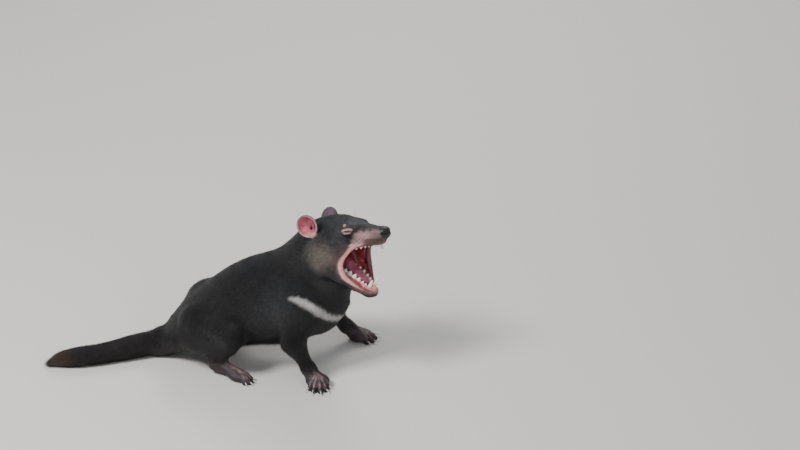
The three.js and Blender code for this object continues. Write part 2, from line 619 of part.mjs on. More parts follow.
// Colours and finishes, from the photograph.
const COAT = new THREE.MeshStandardMaterial({ color: 0x17181a, roughness: 0.8, metalness: 0 });
const BARE = new THREE.MeshStandardMaterial({ color: 0x6b4f52, roughness: 0.65, metalness: 0 });
const EAR = new THREE.MeshStandardMaterial({ color: 0xb05f6a, roughness: 0.6, metalness: 0 });
const NOSE = new THREE.MeshStandardMaterial({ color: 0x1c1614, roughness: 0.4, metalness: 0 });
const TONGUE = new THREE.MeshStandardMaterial({ color: 0xa2475a, roughness: 0.35, metalness: 0 });
const EYE = new THREE.MeshStandardMaterial({ color: 0x120d0b, roughness: 0.1, metalness: 0 });
const HORN = new THREE.MeshStandardMaterial({ color: 0xcdbfae, roughness: 0.5, metalness: 0 });
const finishOf = (name) => {
  if (name.startsWith("ear")) return EAR;
  if (name.startsWith("eye")) return EYE;
  if (name.startsWith("claw")) return HORN;
  if (name.startsWith("forepaw") || name.startsWith("hind_foot")) return BARE;
  return { nose: NOSE, tongue: TONGUE }[name] ?? COAT;
};

// The origin is at the middle of the animal's box, on the floor.
const devil = new THREE.Group();
devil.position.set(ORIGIN_AHEAD, ORIGIN_RIGHT, -FLOOR_TRIM);
for (const [name, solid] of pieces) {
  const part = new THREE.Mesh(geometryOf(solid), finishOf(name));
  part.name = name;
  devil.add(part);
}
export default devil;
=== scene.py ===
"""A Tasmanian devil at life size, crouched with its forelegs braced and its jaws wide open.

Shapes are worked out in millimetres from a point on the floor between the forefeet, with +X towards the head,
+Y to the animal's left and +Z up, and are moved to the frame, in metres, as each mesh is made.
"""

import math

import bpy
import numpy as np
from mathutils import Euler, Matrix, Vector


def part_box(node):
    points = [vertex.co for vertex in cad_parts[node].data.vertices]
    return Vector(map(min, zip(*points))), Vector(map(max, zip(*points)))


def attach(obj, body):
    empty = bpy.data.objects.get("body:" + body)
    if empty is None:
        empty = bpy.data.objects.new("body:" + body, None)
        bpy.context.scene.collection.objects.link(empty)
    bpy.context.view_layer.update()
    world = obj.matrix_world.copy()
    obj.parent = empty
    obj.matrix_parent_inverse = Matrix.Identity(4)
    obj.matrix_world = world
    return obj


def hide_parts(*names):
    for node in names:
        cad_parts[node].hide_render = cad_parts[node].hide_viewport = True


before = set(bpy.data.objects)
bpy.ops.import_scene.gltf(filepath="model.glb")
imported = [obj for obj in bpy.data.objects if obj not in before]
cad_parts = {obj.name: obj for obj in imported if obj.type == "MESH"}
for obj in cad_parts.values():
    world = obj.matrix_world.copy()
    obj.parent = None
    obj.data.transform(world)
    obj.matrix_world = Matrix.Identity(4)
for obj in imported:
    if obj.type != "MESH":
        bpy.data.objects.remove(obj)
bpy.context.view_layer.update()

# The skull's own frame: the head is raised, turned to its right and rolled a little to the left. The whole
# animal is placed by it, because the eyeballs say where the solid model's head is.
HEAD_AT = np.array([-34.0, -12.0, 249.0])
HEAD_YAW, HEAD_PITCH, HEAD_ROLL = -16.0, 13.0, 13.0
EYE_AT = np.array([57.0, 29.0, 12.0])
EYE_RADIUS = 6.5
MM = 0.001


def turned(yaw, pitch=0.0, roll=0.0):
    """Axes, as columns, of a frame turned by degrees: yaw to the left, pitch up, roll left side down."""
    angles = (math.radians(-roll), math.radians(-pitch), math.radians(yaw))
    return np.array(Euler(angles, "XYZ").to_matrix())


HEAD_AXES = turned(HEAD_YAW, HEAD_PITCH, HEAD_ROLL)
RIGHT = np.array([1.0, -1.0, 1.0])
eye_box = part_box("eye_right")
eye_middle = (np.array(eye_box[0]) + np.array(eye_box[1])) / 2
ORIGIN = eye_middle / MM - (HEAD_AT + HEAD_AXES @ (EYE_AT * RIGHT))

# Camera: a long lens, a little in front of the animal's right side and looking down on it. It is set by the
# width of view at the animal, and by how far the picture's middle is from the point between the forefeet.
CAMERA_AZIMUTH, CAMERA_ELEVATION = math.radians(6), math.radians(26)
CAMERA_DISTANCE = 6.0
VIEW_WIDTH = 1.4  # metres of the animal's plane across the picture
AIM_RIGHT, AIM_UP = 0.0945, 0.23975  # from the floor point between the forefeet to the picture's middle
across = Vector((math.cos(CAMERA_AZIMUTH), math.sin(CAMERA_AZIMUTH), 0))
away = Vector((-math.sin(CAMERA_AZIMUTH), math.cos(CAMERA_AZIMUTH), 0))
upward = Vector((0, 0, 1)) * math.cos(CAMERA_ELEVATION) + away * math.sin(CAMERA_ELEVATION)
looking = away * math.cos(CAMERA_ELEVATION) - Vector((0, 0, 1)) * math.sin(CAMERA_ELEVATION)
aim = Vector(ORIGIN) * MM + across * AIM_RIGHT + upward * AIM_UP
camera = bpy.data.objects.new("camera", bpy.data.cameras.new("camera"))
camera.data.sensor_width = 36.0
camera.data.lens = 36.0 * CAMERA_DISTANCE / VIEW_WIDTH
camera.data.clip_end = 100
turn = Matrix((across, upward, -looking)).transposed().to_4x4()
camera.matrix_world = Matrix.Translation(aim - looking * CAMERA_DISTANCE) @ turn
bpy.context.collection.objects.link(camera)
bpy.context.scene.camera = camera


# The skin: one closed hide from nose to tail, with the ears, lips, eyelids, mouth lining and paws in it. It is
# worked out as a distance from masses the size of each muscle and bone, and lies under the coat by its depth.
GAPE = 40.0
JAW_HINGE = np.array([10.0, 0.0, -14.0])
JAW_AT = HEAD_AT + HEAD_AXES @ JAW_HINGE
JAW_AXES = HEAD_AXES @ turned(0, -GAPE)
FLOOR_TRIM = 0.8
FAR = 1e3


def into(points, origin, axes):
    return (points - origin) @ axes


def out_of(points, origin, axes):
    return np.asarray(points) @ axes.T + origin


def from_hinge(h):
    """Points of the skull's frame in the lower jaw's."""
    return into(h, JAW_HINGE, turned(0, -GAPE))


def blend(a, b, soft):
    """The nearer of two distances, run together over a soft join."""
    h = np.maximum(soft - np.abs(a - b), 0) / soft
    return np.minimum(a, b) - h * h * soft / 4


def carve(a, b, soft):
    return -blend(-a, b, soft)


def step_between(x, low, high):
    t = np.clip((x - low) / (high - low), 0, 1)
    return t * t * (3 - 2 * t)


def about(points, centre, spread):
    """1 at a place, fading to 0 over a spread along each axis."""
    return np.exp(-(((points - centre) / spread) ** 2).sum(axis=1))


def ball(points, centre, radii, yaw=0.0, pitch=0.0):
    """Distance from an egg-shaped mass."""
    q = into(points, np.array(centre, float), turned(yaw, pitch))
    radii = np.array(radii, float)
    k0 = np.linalg.norm(q / radii, axis=1)
    k1 = np.linalg.norm(q / radii**2, axis=1)
    return k0 * (k0 - 1) / np.maximum(k1, 1e-9)


def bone(points, a, radius_a, b, radius_b):
    """Distance from a round bone with a radius at each end."""
    a, b = np.array(a, float), np.array(b, float)
    along = b - a
    q = points - a
    t = np.clip(q @ along / (along @ along), 0, 1)
    return np.linalg.norm(q - t[:, None] * along, axis=1) - (radius_a + (radius_b - radius_a) * t)


def chain(points, joints, soft):
    distance = None
    for a, b in zip(joints[:-1], joints[1:]):
        d = bone(points, a[:3], a[3], b[:3], b[3])
        distance = d if distance is None else blend(distance, d, soft)
    return distance


def together(distances, soft):
    total = distances[0]
    for d in distances[1:]:
        total = blend(total, d, soft)
    return total


def folded(points):
    """The same points with their left side laid on their right."""
    return points * [1, 0, 1] + np.abs(points) * [0, 1, 0]


# Oval girths from the tail's root to the breast: x, middle y, middle z, half width, half height.
GIRTHS = np.array(
    [
        [-326, 0, 24, 20, 20],
        [-306, 0, 41, 38, 33],
        [-280, 0, 60, 56, 49],
        [-240, 0, 83, 69, 60],
        [-200, 0, 103, 74, 71],
        [-155, 0, 117, 76, 79],
        [-110, -2, 122, 73, 80],
        [-70, -4, 125, 65, 76],
        [-36, -6, 125, 50, 56],
        [-16, -8, 123, 30, 35],
        [-6, -8, 122, 12, 14],
    ],
    float,
)


def trunk(points):
    x = points[:, 0]
    last = len(GIRTHS) - 1
    k = np.clip(np.searchsorted(GIRTHS[:, 0], x, side="right") - 1, 0, last - 1)
    t = np.clip((x - GIRTHS[k, 0]) / (GIRTHS[k + 1, 0] - GIRTHS[k, 0]), 0, 1)[:, None]
    a, b, c, d = (GIRTHS[np.clip(k + i, 0, last)] for i in (-1, 0, 1, 2))
    girth = b + 0.5 * t * (c - a + t * (2 * a - 5 * b + 4 * c - d + t * (3 * (b - c) + d - a)))
    _, y, z, w, h = girth.T
    inside = (np.hypot((points[:, 1] - y) / w, (points[:, 2] - z) / h) - 1) * np.sqrt(w * h)
    ends = np.maximum(np.maximum(GIRTHS[0, 0] - x, x - GIRTHS[last, 0]), 0)
    barrel = np.hypot(np.maximum(inside, 0), ends) + np.minimum(inside, 0)
    return blend(barrel, ball(points, (-42, -7, 122), (39, 50, 56)), 16)


def neck(points):
    nape = bone(points, (-92, -2, 152), 60, (-48, -9, 212), 52)
    throat = bone(points, (-42, -6, 138), 48, (-18, -20, 182), 40)
    return blend(nape, throat, 30)


TAIL = [
    (-318, 1, 25, 23),
    (-348, -9, 22, 21.5),
    (-374, -22, 21, 20.5),
    (-400, -35, 19, 19),
    (-430, -50, 18, 18),
    (-462, -61, 17, 17),
    (-488, -66, 13.5, 13),
    (-504, -68, 9, 8),
]


def smooth_line(joints, count):
    """More joints along a smooth curve through a few."""
    joints = np.array(joints, float)
    padded = np.vstack([2 * joints[0] - joints[1], joints, 2 * joints[-1] - joints[-2]])
    place = np.linspace(0, len(joints) - 1, count)
    k = np.minimum(place.astype(int), len(joints) - 2)
    t = (place - k)[:, None]
    a, b, c, d = (padded[k + i] for i in range(4))
    return b + 0.5 * t * (c - a + t * (2 * a - 5 * b + 4 * c - d + t * (3 * (b - c) + d - a)))


TAIL_LINE = smooth_line(TAIL, 22)
TAIL_LINE[:, 3] += 1.0


def tail(points):
    return chain(points, [tuple(j) for j in TAIL_LINE], 1.5)


FORELEGS = {
    "right": dict(shoulder=(-70, -52, 128), elbow=(-82, -76, 76), wrist=(-55, -82, 28), hand=(-38, -93, 12), aim=-74),
    "left": dict(shoulder=(-66, 52, 128), elbow=(-48, 74, 80), wrist=(-8, 80, 29), hand=(14, 83, 12), aim=6),
}
FORE_FAN = (-50, -25, 0, 24, 48)
FORE_REACH = (21, 26, 28, 26, 21)
HINDLEGS = {
    "right": dict(hip=(-248, -42, 86), knee=(-192, -68, 82), heel=(-220, -62, 20), sole=(-178, -84, 10), aim=-30),
    "left": dict(hip=(-248, 42, 86), knee=(-192, 68, 82), heel=(-221, 62, 20), sole=(-180, 82, 10), aim=26),
}
HIND_FAN = (-24, -8, 8, 24)
HIND_REACH = (24, 28, 27, 23)
TOE_RADIUS, TOE_TIP_RADIUS = 5.6, 4.6


def toes_of(middle, aim, fan, reach):
    """The root and tip of each toe of a foot."""
    toes = []
    for angle, length in zip(fan, reach):
        way = np.array([math.cos(math.radians(aim + angle)), math.sin(math.radians(aim + angle)), 0])
        root = np.array(middle, float) + way * 7 - [0, 0, 1]
        tip = np.array([middle[0], middle[1], TOE_TIP_RADIUS]) + way * length
        toes.append((root, tip))
    return toes


TOES = {("fore", side): toes_of(leg["hand"], leg["aim"], FORE_FAN, FORE_REACH) for side, leg in FORELEGS.items()}
TOES |= {("hind", side): toes_of(leg["sole"], leg["aim"], HIND_FAN, HIND_REACH) for side, leg in HINDLEGS.items()}


def foreleg(points, shoulder, elbow, wrist, hand, aim):
    blade = ball(points, np.array(shoulder) + [-6, 0, 4], (36, 24, 48))
    upper = bone(points, shoulder, 27, elbow, 18.5)
    lower = bone(points, elbow, 18, wrist, 12.5)
    palm = ball(points, (hand[0], hand[1], 11), (20, 21, 11), aim)
    return blend(blend(together([blade, upper, lower], 22), bone(points, wrist, 13, hand, 11), 8), palm, 8)


def hindleg(points, hip, knee, heel, sole, aim):
    haunch = ball(points, (-230, hip[1] * 1.1, 78), (60, 36, 50), 0, 14)
    thigh = bone(points, hip, 34, knee, 28)
    shank = bone(points, np.array(knee) + [-4, 0, -6], 24, heel, 13)
    pad = ball(points, (sole[0], sole[1], 9), (20, 16, 9), aim)
    return blend(blend(together([haunch, thigh, shank], 18), bone(points, heel, 13, sole, 9.5), 9), pad, 7)


def toe_masses(points):
    distance = np.full(len(points), FAR)
    low = points[:, 2] < 40
    near = points[low]
    found = np.full(len(near), FAR)
    for toes in TOES.values():
        for root, tip in toes:
            knuckle = (root + tip) / 2 + [0, 0, 3.2]
            joints = [(*root, 7), (*knuckle, TOE_RADIUS), (*tip, TOE_TIP_RADIUS)]
            found = np.minimum(found, chain(near, joints, 3))
    distance[low] = found
    return distance


def upper_head(h):
    s = folded(h)
    masses = [
        ball(h, (10, 0, 4), (50, 40, 31)),
        ball(h, (30, 0, 13), (40, 29, 22)),
        bone(h, (40, 0, 8), 25, (66, 0, 5), 19.5),
        bone(h, (66, 0, 3), 17.5, (86, 0, 0.5), 14.5),
        bone(h, (84, 0, 0.5), 14.5, (106, 0, 0.5), 13.5),
        ball(s, (26, 33, -12), (33, 21, 25)),
        ball(s, (60, 22, 16), (15, 10, 8)),
        ball(s, (86, 13, -5), (24, 12, 11)),
        ball(s, (8, 34, -30), (27, 20, 30)),
    ]
    return together(masses, 12)


def nose_pad(h):
    return ball(h, (115, 0, 2.5), (11, 13.5, 11.5))


def lower_jaw(j):
    bars = chain(folded(j), [(8, 36, -8, 17), (50, 27, -22, 12), (78, 18, -23, 9.5), (102, 7, -23, 9)], 8)
    return together([bars, ball(j, (104, 0, -22), (14, 13, 9.5)), ball(j, (58, 0, -26), (48, 22, 8))], 9)


# The edge of the lips on the right side, from the front of the muzzle round the corner of the mouth to the chin:
# x, half width, z and radius in the skull's frame. On the left the corner is drawn further forward.
LIP_EDGE = np.array(
    [
        [109, 2, -10, 4.0],
        [104, 10, -11, 4.0],
        [96, 17, -12, 4.2],
        [84, 23, -12, 4.4],
        [72, 27, -13, 4.8],
        [62, 31, -17, 5.2],
        [54, 34, -24, 5.6],
        [46.5, 37, -33, 6.0],
        [42, 38.5, -43, 6.4],
        [42, 38, -54, 6.4],
        [45.5, 35.5, -65, 6.0],
        [52, 31.5, -76, 5.5],
        [60.5, 27, -86, 5.0],
        [69, 22, -93.5, 4.6],
        [78, 14, -99, 4.4],
        [84, 4, -99, 4.2],
    ]
)
LEFT_CORNER_AHEAD = 17.0


def lip_edge(side):
    """The lips' joints on one side, with the half width made positive."""
    joints = LIP_EDGE.copy()
    if side == "left":
        joints[:, 0] += LEFT_CORNER_AHEAD * np.clip(1 - ((joints[:, 2] + 50) / 44) ** 2, 0, 1)
    return joints


def webbing(s, side):
    """The cheek that stretches between the jaws, from its lips back to the muscle behind it."""
    joints = lip_edge(side)[4:13]
    return together([bone(s, j[:3] - [1, 0, 0], j[3] - 0.6, (14, 35, -44), 17) for j in joints[::2]], 8)


def mouth_hollow(h, j):
    """The open mouth: a throat between the cheeks that opens out at the lips, vaulted in palate and floor."""
    back = 22 - h[:, 0] - 0.3 * np.abs(h[:, 2] + 42)
    gap = -blend(-blend(FAR * np.ones(len(h)), np.maximum(h[:, 2] + 15.5, -(j[:, 2] + 14)), 1), -back, 8)
    beyond = np.empty(len(h))
    for side, on_side in (("right", h[:, 1] <= 0), ("left", h[:, 1] > 0)):
        edge = lip_edge(side)[3:15][::-1]
        beyond[on_side] = h[on_side, 0] - np.interp(h[on_side, 2], edge[:, 2], edge[:, 0])
    inner = np.interp(h[:, 0], [20, 60, 90], [30, 29, 24])
    flare = np.clip((beyond + 3) / 9, 0, 1)
    wedge = -blend(-gap, inner + 45 * flare - np.abs(h[:, 1]), 5)
    vaults = blend(ball(h, (64, 0, -18), (42, 15, 9)), ball(j, (60, 0, -13), (42, 13, 9)), 3)
    return blend(wedge, vaults, 4)


TOOTH_ROW = {"upper": (22.0, 71.0), "lower": (20.0, 71.0)}


def row_half_width(x, jaw):
    wide, length = TOOTH_ROW[jaw]
    return wide * np.sqrt(np.maximum(0.03, 1 - (np.maximum(0, np.asarray(x, float) - 40) / length) ** 2))


def gums(h, j):
    """A round ridge of gum under each row of teeth."""
    ridges = []
    for q, jaw, z, radius in ((folded(h), "upper", -13.5, 4.2), (folded(j), "lower", -16.5, 4.0)):
        joints = [(x, float(row_half_width(x, jaw)), z, radius) for x in (40, 60, 78, 92, 102, 108)]
        ridges.append(chain(q, [*joints, (109.5, 0, z, radius)], 2))
    return np.minimum(*ridges)


def within_mouth(h, j):
    """1 for points between the jaws and inside the lips, 0 outside."""
    edge = LIP_EDGE[1:15][::-1]
    wide = np.interp(h[:, 2], edge[:, 2], edge[:, 1])
    between = step_between(h[:, 2], -12, -16) * step_between(j[:, 2], -21, -17) * step_between(h[:, 0], 8, 16)
    return between * step_between(wide - np.abs(h[:, 1]), -1.5, 1.5)


def lips(h):
    s = folded(h)
    both = [chain(s, [tuple(j) for j in lip_edge(side)], 0.8) for side in ("right", "left")]
    return np.where(h[:, 1] > 0, both[1], both[0])


EAR_WIDTH, EAR_HEIGHT, EAR_DEPTH, EAR_WALL = 37.0, 43.0, 11.4, 3.9
EARS_AT = {"right": np.array([-6.0, -49.0, 27.0]), "left": np.array([-10.0, 49.0, 22.0])}


def ear_frame(side):
    sign = -1 if side == "right" else 1
    lean = turned(sign * -12) @ turned(0, 0, sign * 16)
    return EARS_AT[side], lean, sign


def ear(h, side):
    """A thin cup of skin that opens outwards, with a fold before the ear hole."""
    at, axes, sign = ear_frame(side)
    q = into(h, at, axes) * [1, sign, 1]
    cup = ball(q, (0, 0, 0), (EAR_WIDTH / 2, EAR_DEPTH, EAR_HEIGHT / 2))
    shell = np.abs(cup + EAR_WALL / 2) - EAR_WALL / 2
    shell = -blend(-shell, 1.5 - q[:, 1], 2.0)
    folds = together(
        [
            chain(q, [(1, -6.5, -13, 2.6), (4, -7, -2, 2.2), (1, -7, 8, 1.4)], 2),
            chain(q, [(8, -4.5, -12, 2.8), (10.5, -3.5, -1, 2.2), (8, -5, 8, 1.2)], 2),
            ball(q, (-6, -5.5, -12), (4, 2.6, 4)),
            ball(q, (2, -8, -16), (13, 9, 11)),
        ],
        1.5,
    )
    hole = bone(q, (5.5, -8, -11), 2.4, (6.5, -4, -4), 1.6)
    return carve(blend(shell, folds, 2.5), hole, 1.5)


def eye_frame(sign):
    """Origin and axes (forward, out, up) of one eye, whose look is outwards, forwards and a little up."""
    at = EYE_AT * [1, sign, 1]
    out = np.array([0.42, sign * 0.9, 0.14])
    out /= np.linalg.norm(out)
    front = np.cross(out, [0, 0, 1.0]) * sign
    front = front / np.linalg.norm(front)
    front = front + np.array([0, 0, -0.18])
    front /= np.linalg.norm(front)
    up = np.cross(front, out) * sign
    return at, np.stack([front, out, up], axis=1)


EYE_SLIT_LENGTH, EYE_SLIT_HEIGHT = 5.4, 1.05


def slit(q):
    """How far outside the almond between the lids a point is, seen along the eye's axis."""
    bulge = (EYE_SLIT_LENGTH**2 - EYE_SLIT_HEIGHT**2) / (2 * EYE_SLIT_HEIGHT)
    radius = bulge + EYE_SLIT_HEIGHT
    return np.hypot(q[:, 0], np.abs(q[:, 2] - 0.16 * q[:, 0]) + bulge) - radius


def head_field(h):
    """Distance from the skin of the head, in its own frame."""
    j = from_hinge(h)
    s = folded(h)
    cheeks = np.where(h[:, 1] > 0, webbing(s, "left"), webbing(s, "right"))
    whole = blend(blend(upper_head(h), lower_jaw(j), 6), cheeks, 9)
    hollow = mouth_hollow(h, j)
    # Ridges across the palate.
    roof = step_between(h[:, 2], -34, -18) * step_between(h[:, 0], 30, 44) * step_between(22 - np.abs(h[:, 1]), 0, 10)
    hollow = hollow + 0.45 * roof * np.sin(h[:, 0] * 1.15 + 0.006 * h[:, 1] ** 2)
    skin = blend(blend(carve(whole, hollow, 3), gums(h, j), 2), lips(h), 3.5)
    skin = blend(skin, nose_pad(h), 5)
    # Nostrils: commas cut into the sides of the pad, with a groove down its middle.
    nostril = chain(s, [(125, 5.4, 4.2, 2.3), (121.5, 9.6, 3.4, 2.0), (115, 12.6, 1.0, 0.8)], 1.5)
    groove = bone(s, (127, 0, 2), 0.9, (120, 0, -12), 0.8)
    skin = carve(skin, blend(nostril, groove, 1.0), 1.2)
    for side in ("right", "left"):
        skin = blend(skin, ear(h, side), 5)
    # Lids: a low swelling round each eye, slit open, with a crease above and below it.
    for sign in (-1, 1):
        at, axes = eye_frame(sign)
        q = into(h, at, axes)
        lids = ball(q, (0, 0, 0), (9.6, EYE_RADIUS + 1.3, 7.6))
        skin = blend(skin, lids, 4)
        opening = slit(q)
        near = np.exp(-((opening / 6.5) ** 2)) * step_between(q[:, 1], 1, 4)
        above = step_between(q[:, 2], -0.5, 1.5)
        skin = skin - near * (0.45 + 0.2 * above) * np.cos(opening * (1.9 + 0.3 * above) - 0.3)
        window = np.maximum(opening, EYE_RADIUS - 0.25 - np.linalg.norm(q, axis=1))
        window = np.maximum(window, -q[:, 1])
        skin = carve(skin, window, 1.1)
    wart = ball(s, (55.3, 29.5, 23), (2.6, 2.6, 2.0))
    return blend(skin, wart, 2)


HEAD_MIDDLE = HEAD_AT + HEAD_AXES @ np.array([40.0, 0.0, -30.0])
HEAD_REACH = 140.0


def body_field(points):
    """Distance from the animal's outline: the tips of its coat, or its skin where it is bare."""
    torso = together([trunk(points), neck(points), tail(points)], 26)
    for side in ("right", "left"):
        torso = blend(torso, foreleg(points, **FORELEGS[side]), 22)
        torso = blend(torso, hindleg(points, **HINDLEGS[side]), 13)
    stood = blend(torso, toe_masses(points), 3)
    near = np.linalg.norm(points - HEAD_MIDDLE, axis=1) < HEAD_REACH
    head = head_field(into(points[near], HEAD_AT, HEAD_AXES))
    stood[near] = blend(stood[near], head, 14)
    return np.maximum(stood, FLOOR_TRIM - points[:, 2])


def coat_depth(points):
    """How far the skin lies under the tips of the coat."""
    h = into(points, HEAD_AT, HEAD_AXES)
    depth = np.full(len(points), 3.4)
    head = step_between(np.linalg.norm(h - [52, 0, -25], axis=1), 120, 62)
    depth = depth + head * (1.5 - 3.4)
    muzzle = step_between(h[:, 0], 38, 62) * head
    depth = depth + muzzle * (0.35 - depth)
    ears = np.zeros(len(points))
    for side in ("right", "left"):
        ears = np.maximum(ears, step_between(np.linalg.norm(h - EARS_AT[side], axis=1), 30, 22))
    depth = depth + ears * (0.3 - depth)
    feet = step_between(points[:, 2], 48, 20) * (points[:, 0] > -240)
    legs = np.zeros(len(points))
    for leg in (*FORELEGS.values(), *HINDLEGS.values()):
        foot = np.array(leg.get("hand", leg.get("sole")), float)
        legs = np.maximum(legs, step_between(np.linalg.norm((points - foot) * [1, 1, 0], axis=1), 75, 45))
    depth = depth + feet * legs * (0.35 - depth)
    brush = step_between(points[:, 0], -380, -480)
    return depth + brush * 0.9


def skin_field(points):
    return body_field(points) + coat_depth(points)


def in_batches(function, points, size=200000):
    return np.concatenate([function(points[i : i + size]) for i in range(0, len(points), size)])


def slopes(field, points, nudge=0.25):
    here = in_batches(field, points)
    gradient = np.stack([in_batches(field, points + nudge * axis) - here for axis in np.eye(3)], axis=1) / nudge
    return here, gradient


def settle(field, points, limit):
    """Moves points on to the surface."""
    here, gradient = slopes(field, points)
    shift = here[:, None] * gradient / np.maximum((gradient**2).sum(axis=1), 0.2)[:, None]
    length = np.linalg.norm(shift, axis=1, keepdims=True)
    return points - shift * np.minimum(1, limit / np.maximum(length, 1e-9))


def surface_net(field, ticks):
    """A closed mesh of a field's zero level on an uneven grid: one vertex in each cell that the surface crosses,
    and one square round each edge that it cuts."""
    coarse = 4
    ticks = [t[: (len(t) - 1) // coarse * coarse + 1] for t in ticks]
    counts = [len(t) for t in ticks]

    def place(cells):
        """Positions of points given in counts of ticks."""
        return np.stack([np.interp(cells[:, m], np.arange(counts[m]), ticks[m]) for m in range(3)], axis=1)

    corner = np.stack(np.meshgrid(*[np.arange(0, n, coarse) for n in counts], indexing="ij"), axis=-1)
    rough = in_batches(field, place(corner.reshape(-1, 3))).reshape(corner.shape[:3])
    reach = 0.75 * coarse * max(np.diff(t).max() for t in ticks) + 4
    near = np.abs(rough) < reach
    active = np.zeros([n - 1 for n in near.shape], bool)
    for i, j, k in np.ndindex(2, 2, 2):
        active |= near[i : near.shape[0] - 1 + i, j : near.shape[1] - 1 + j, k : near.shape[2] - 1 + k]
    fine = np.zeros(counts, bool)
    value = np.full(counts, FAR)
    for m in range(3):
        active = np.repeat(active, coarse, axis=m)
        rough = np.repeat(rough, coarse, axis=m)
    value[:] = rough[: counts[0], : counts[1], : counts[2]]
    for i, j, k in np.ndindex(2, 2, 2):
        fine[i : counts[0] - 1 + i, j : counts[1] - 1 + j, k : counts[2] - 1 + k] |= active
    value[fine] = in_batches(field, place(np.argwhere(fine)))
    # Where the corners of a grid square are in and out by turns, the one nearest the surface changes sides, so that
    # no edge of the mesh has more than two faces.
    around = ((0, 0), (1, 0), (1, 1), (0, 1))
    for m, n in ((0, 1), (1, 2), (2, 0)) * 4:
        offsets = np.zeros((4, 3), int)
        offsets[:, [m, n]] = around
        spans = [counts[k] - (k in (m, n)) for k in range(3)]
        square = [value[tuple(slice(o[k], o[k] + spans[k]) for k in range(3))] for o in offsets]
        a, b, c, d = (v < 0 for v in square)
        mixed = np.argwhere((a == c) & (b == d) & (a != b))
        nearest = np.abs(np.stack([v[tuple(mixed.T)] for v in square], axis=1)).argmin(axis=1)
        value[tuple(np.unique(mixed + offsets[nearest], axis=0).T)] *= -1
    inside = value < 0
    keys, crossings, squares = [], [], []
    for axis in range(3):
        first = tuple(slice(0, -1) if m == axis else slice(None) for m in range(3))
        second = tuple(slice(1, None) if m == axis else slice(None) for m in range(3))
        crossed = np.argwhere(inside[first] != inside[second])
        step = np.eye(3, dtype=int)
        va, vb = value[tuple(crossed.T)], value[tuple((crossed + step[axis]).T)]
        crossing = crossed + (va / (va - vb))[:, None] * step[axis]
        one, two = step[(axis + 1) % 3], step[(axis + 2) % 3]
        cells = [crossed, crossed - one, crossed - one - two, crossed - two]
        corners = [np.ravel_multi_index(cell.T, value.shape) for cell in cells]
        keys += corners
        crossings += [crossing] * 4
        square = np.stack(corners, axis=1)
        square[va >= 0] = square[va >= 0][:, ::-1]
        squares.append(square)
    found, index, total = np.unique(np.concatenate(keys), return_inverse=True, return_counts=True)
    crossings = np.concatenate(crossings)
    points = place(np.stack([np.bincount(index, crossings[:, m]) / total for m in range(3)], axis=1))
    squares = np.searchsorted(found, np.concatenate(squares))
    return points, np.concatenate([squares[:, [0, 1, 2]], squares[:, [0, 2, 3]]])


def refine(points, triangles, chosen):
    """Splits the chosen triangles into four, and their neighbours so that no edge is left open."""
    ends = np.sort(np.stack([triangles, np.roll(triangles, -1, axis=1)], axis=2), axis=2)
    edges, index = np.unique(ends.reshape(-1, 2), axis=0, return_inverse=True)
    index = index.reshape(-1, 3)
    marked = np.zeros(len(edges), bool)
    marked[index[chosen].ravel()] = True
    number = np.cumsum(marked) - 1 + len(points)
    points = np.concatenate([points, points[edges[marked]].mean(axis=1)])
    hit = marked[index]
    middle = number[index]
    count = hit.sum(axis=1)
    result = [triangles[count == 0]]
    a, b, c = triangles[count == 3].T
    ab, bc, ca = middle[count == 3].T
    result += [np.stack(t, axis=1) for t in ((a, ab, ca), (ab, b, bc), (ca, bc, c), (ab, bc, ca))]
    for many in (1, 2):
        rows = count == many
        start = hit[rows].argmax(axis=1) if many == 1 else ((~hit[rows]).argmax(axis=1) + 1) % 3
        order = (start[:, None] + np.arange(3)) % 3
        a, b, c = np.take_along_axis(triangles[rows], order, axis=1).T
        ab, bc, _ = np.take_along_axis(middle[rows], order, axis=1).T
        if many == 1:
            result += [np.stack(t, axis=1) for t in ((a, ab, c), (ab, b, c))]
        else:
            result += [np.stack(t, axis=1) for t in ((ab, b, bc), (a, ab, c), (ab, bc, c))]
    return points, np.concatenate(result)


def uneven(*stretches):
    """Grid ticks along one axis: a start, and then pairs of a step and where it ends."""
    ticks = [float(stretches[0])]
    for step, end in zip(stretches[1::2], stretches[2::2]):
        count = max(1, round((end - ticks[-1]) / step))
        ticks += list(np.linspace(ticks[-1], end, count + 1)[1:])
    return np.array(ticks)


def close_to(points, centres, radius):
    """Which points lie near any of some places in the skull's frame."""
    h = into(points, HEAD_AT, HEAD_AXES)
    return np.any([np.linalg.norm(h - np.array(c), axis=1) < radius for c in centres], axis=0)


EYES_AT = [EYE_AT * RIGHT, EYE_AT]
skin_points, skin_triangles = surface_net(
    skin_field,
    [
        uneven(-530, 3.8, -84, 1.6, -24, 1.9, 112),
        uneven(-136, 2.4, -72, 1.6, -34, 2.3, 26, 1.6, 56, 2.4, 126),
        uneven(-6, 1.9, 44, 3.6, 140, 2.0, 244, 1.6, 318),
    ],
)
skin_points = settle(skin_field, skin_points, 0.8)
LIDS_AT = [e + [2.5, 6.0 * np.sign(e[1]), 1.0] for e in EYES_AT]
for places, reach in (([*LIDS_AT, (118, 0, 0)], 13), (LIDS_AT, 9), (LIDS_AT, 6.5)):
    chosen = close_to(skin_points[skin_triangles].mean(axis=1), places, reach)
    skin_points, skin_triangles = refine(skin_points, skin_triangles, chosen)
    skin_points = settle(skin_field, skin_points, 0.5)
skin_points[:, 2] = np.maximum(skin_points[:, 2], FLOOR_TRIM)


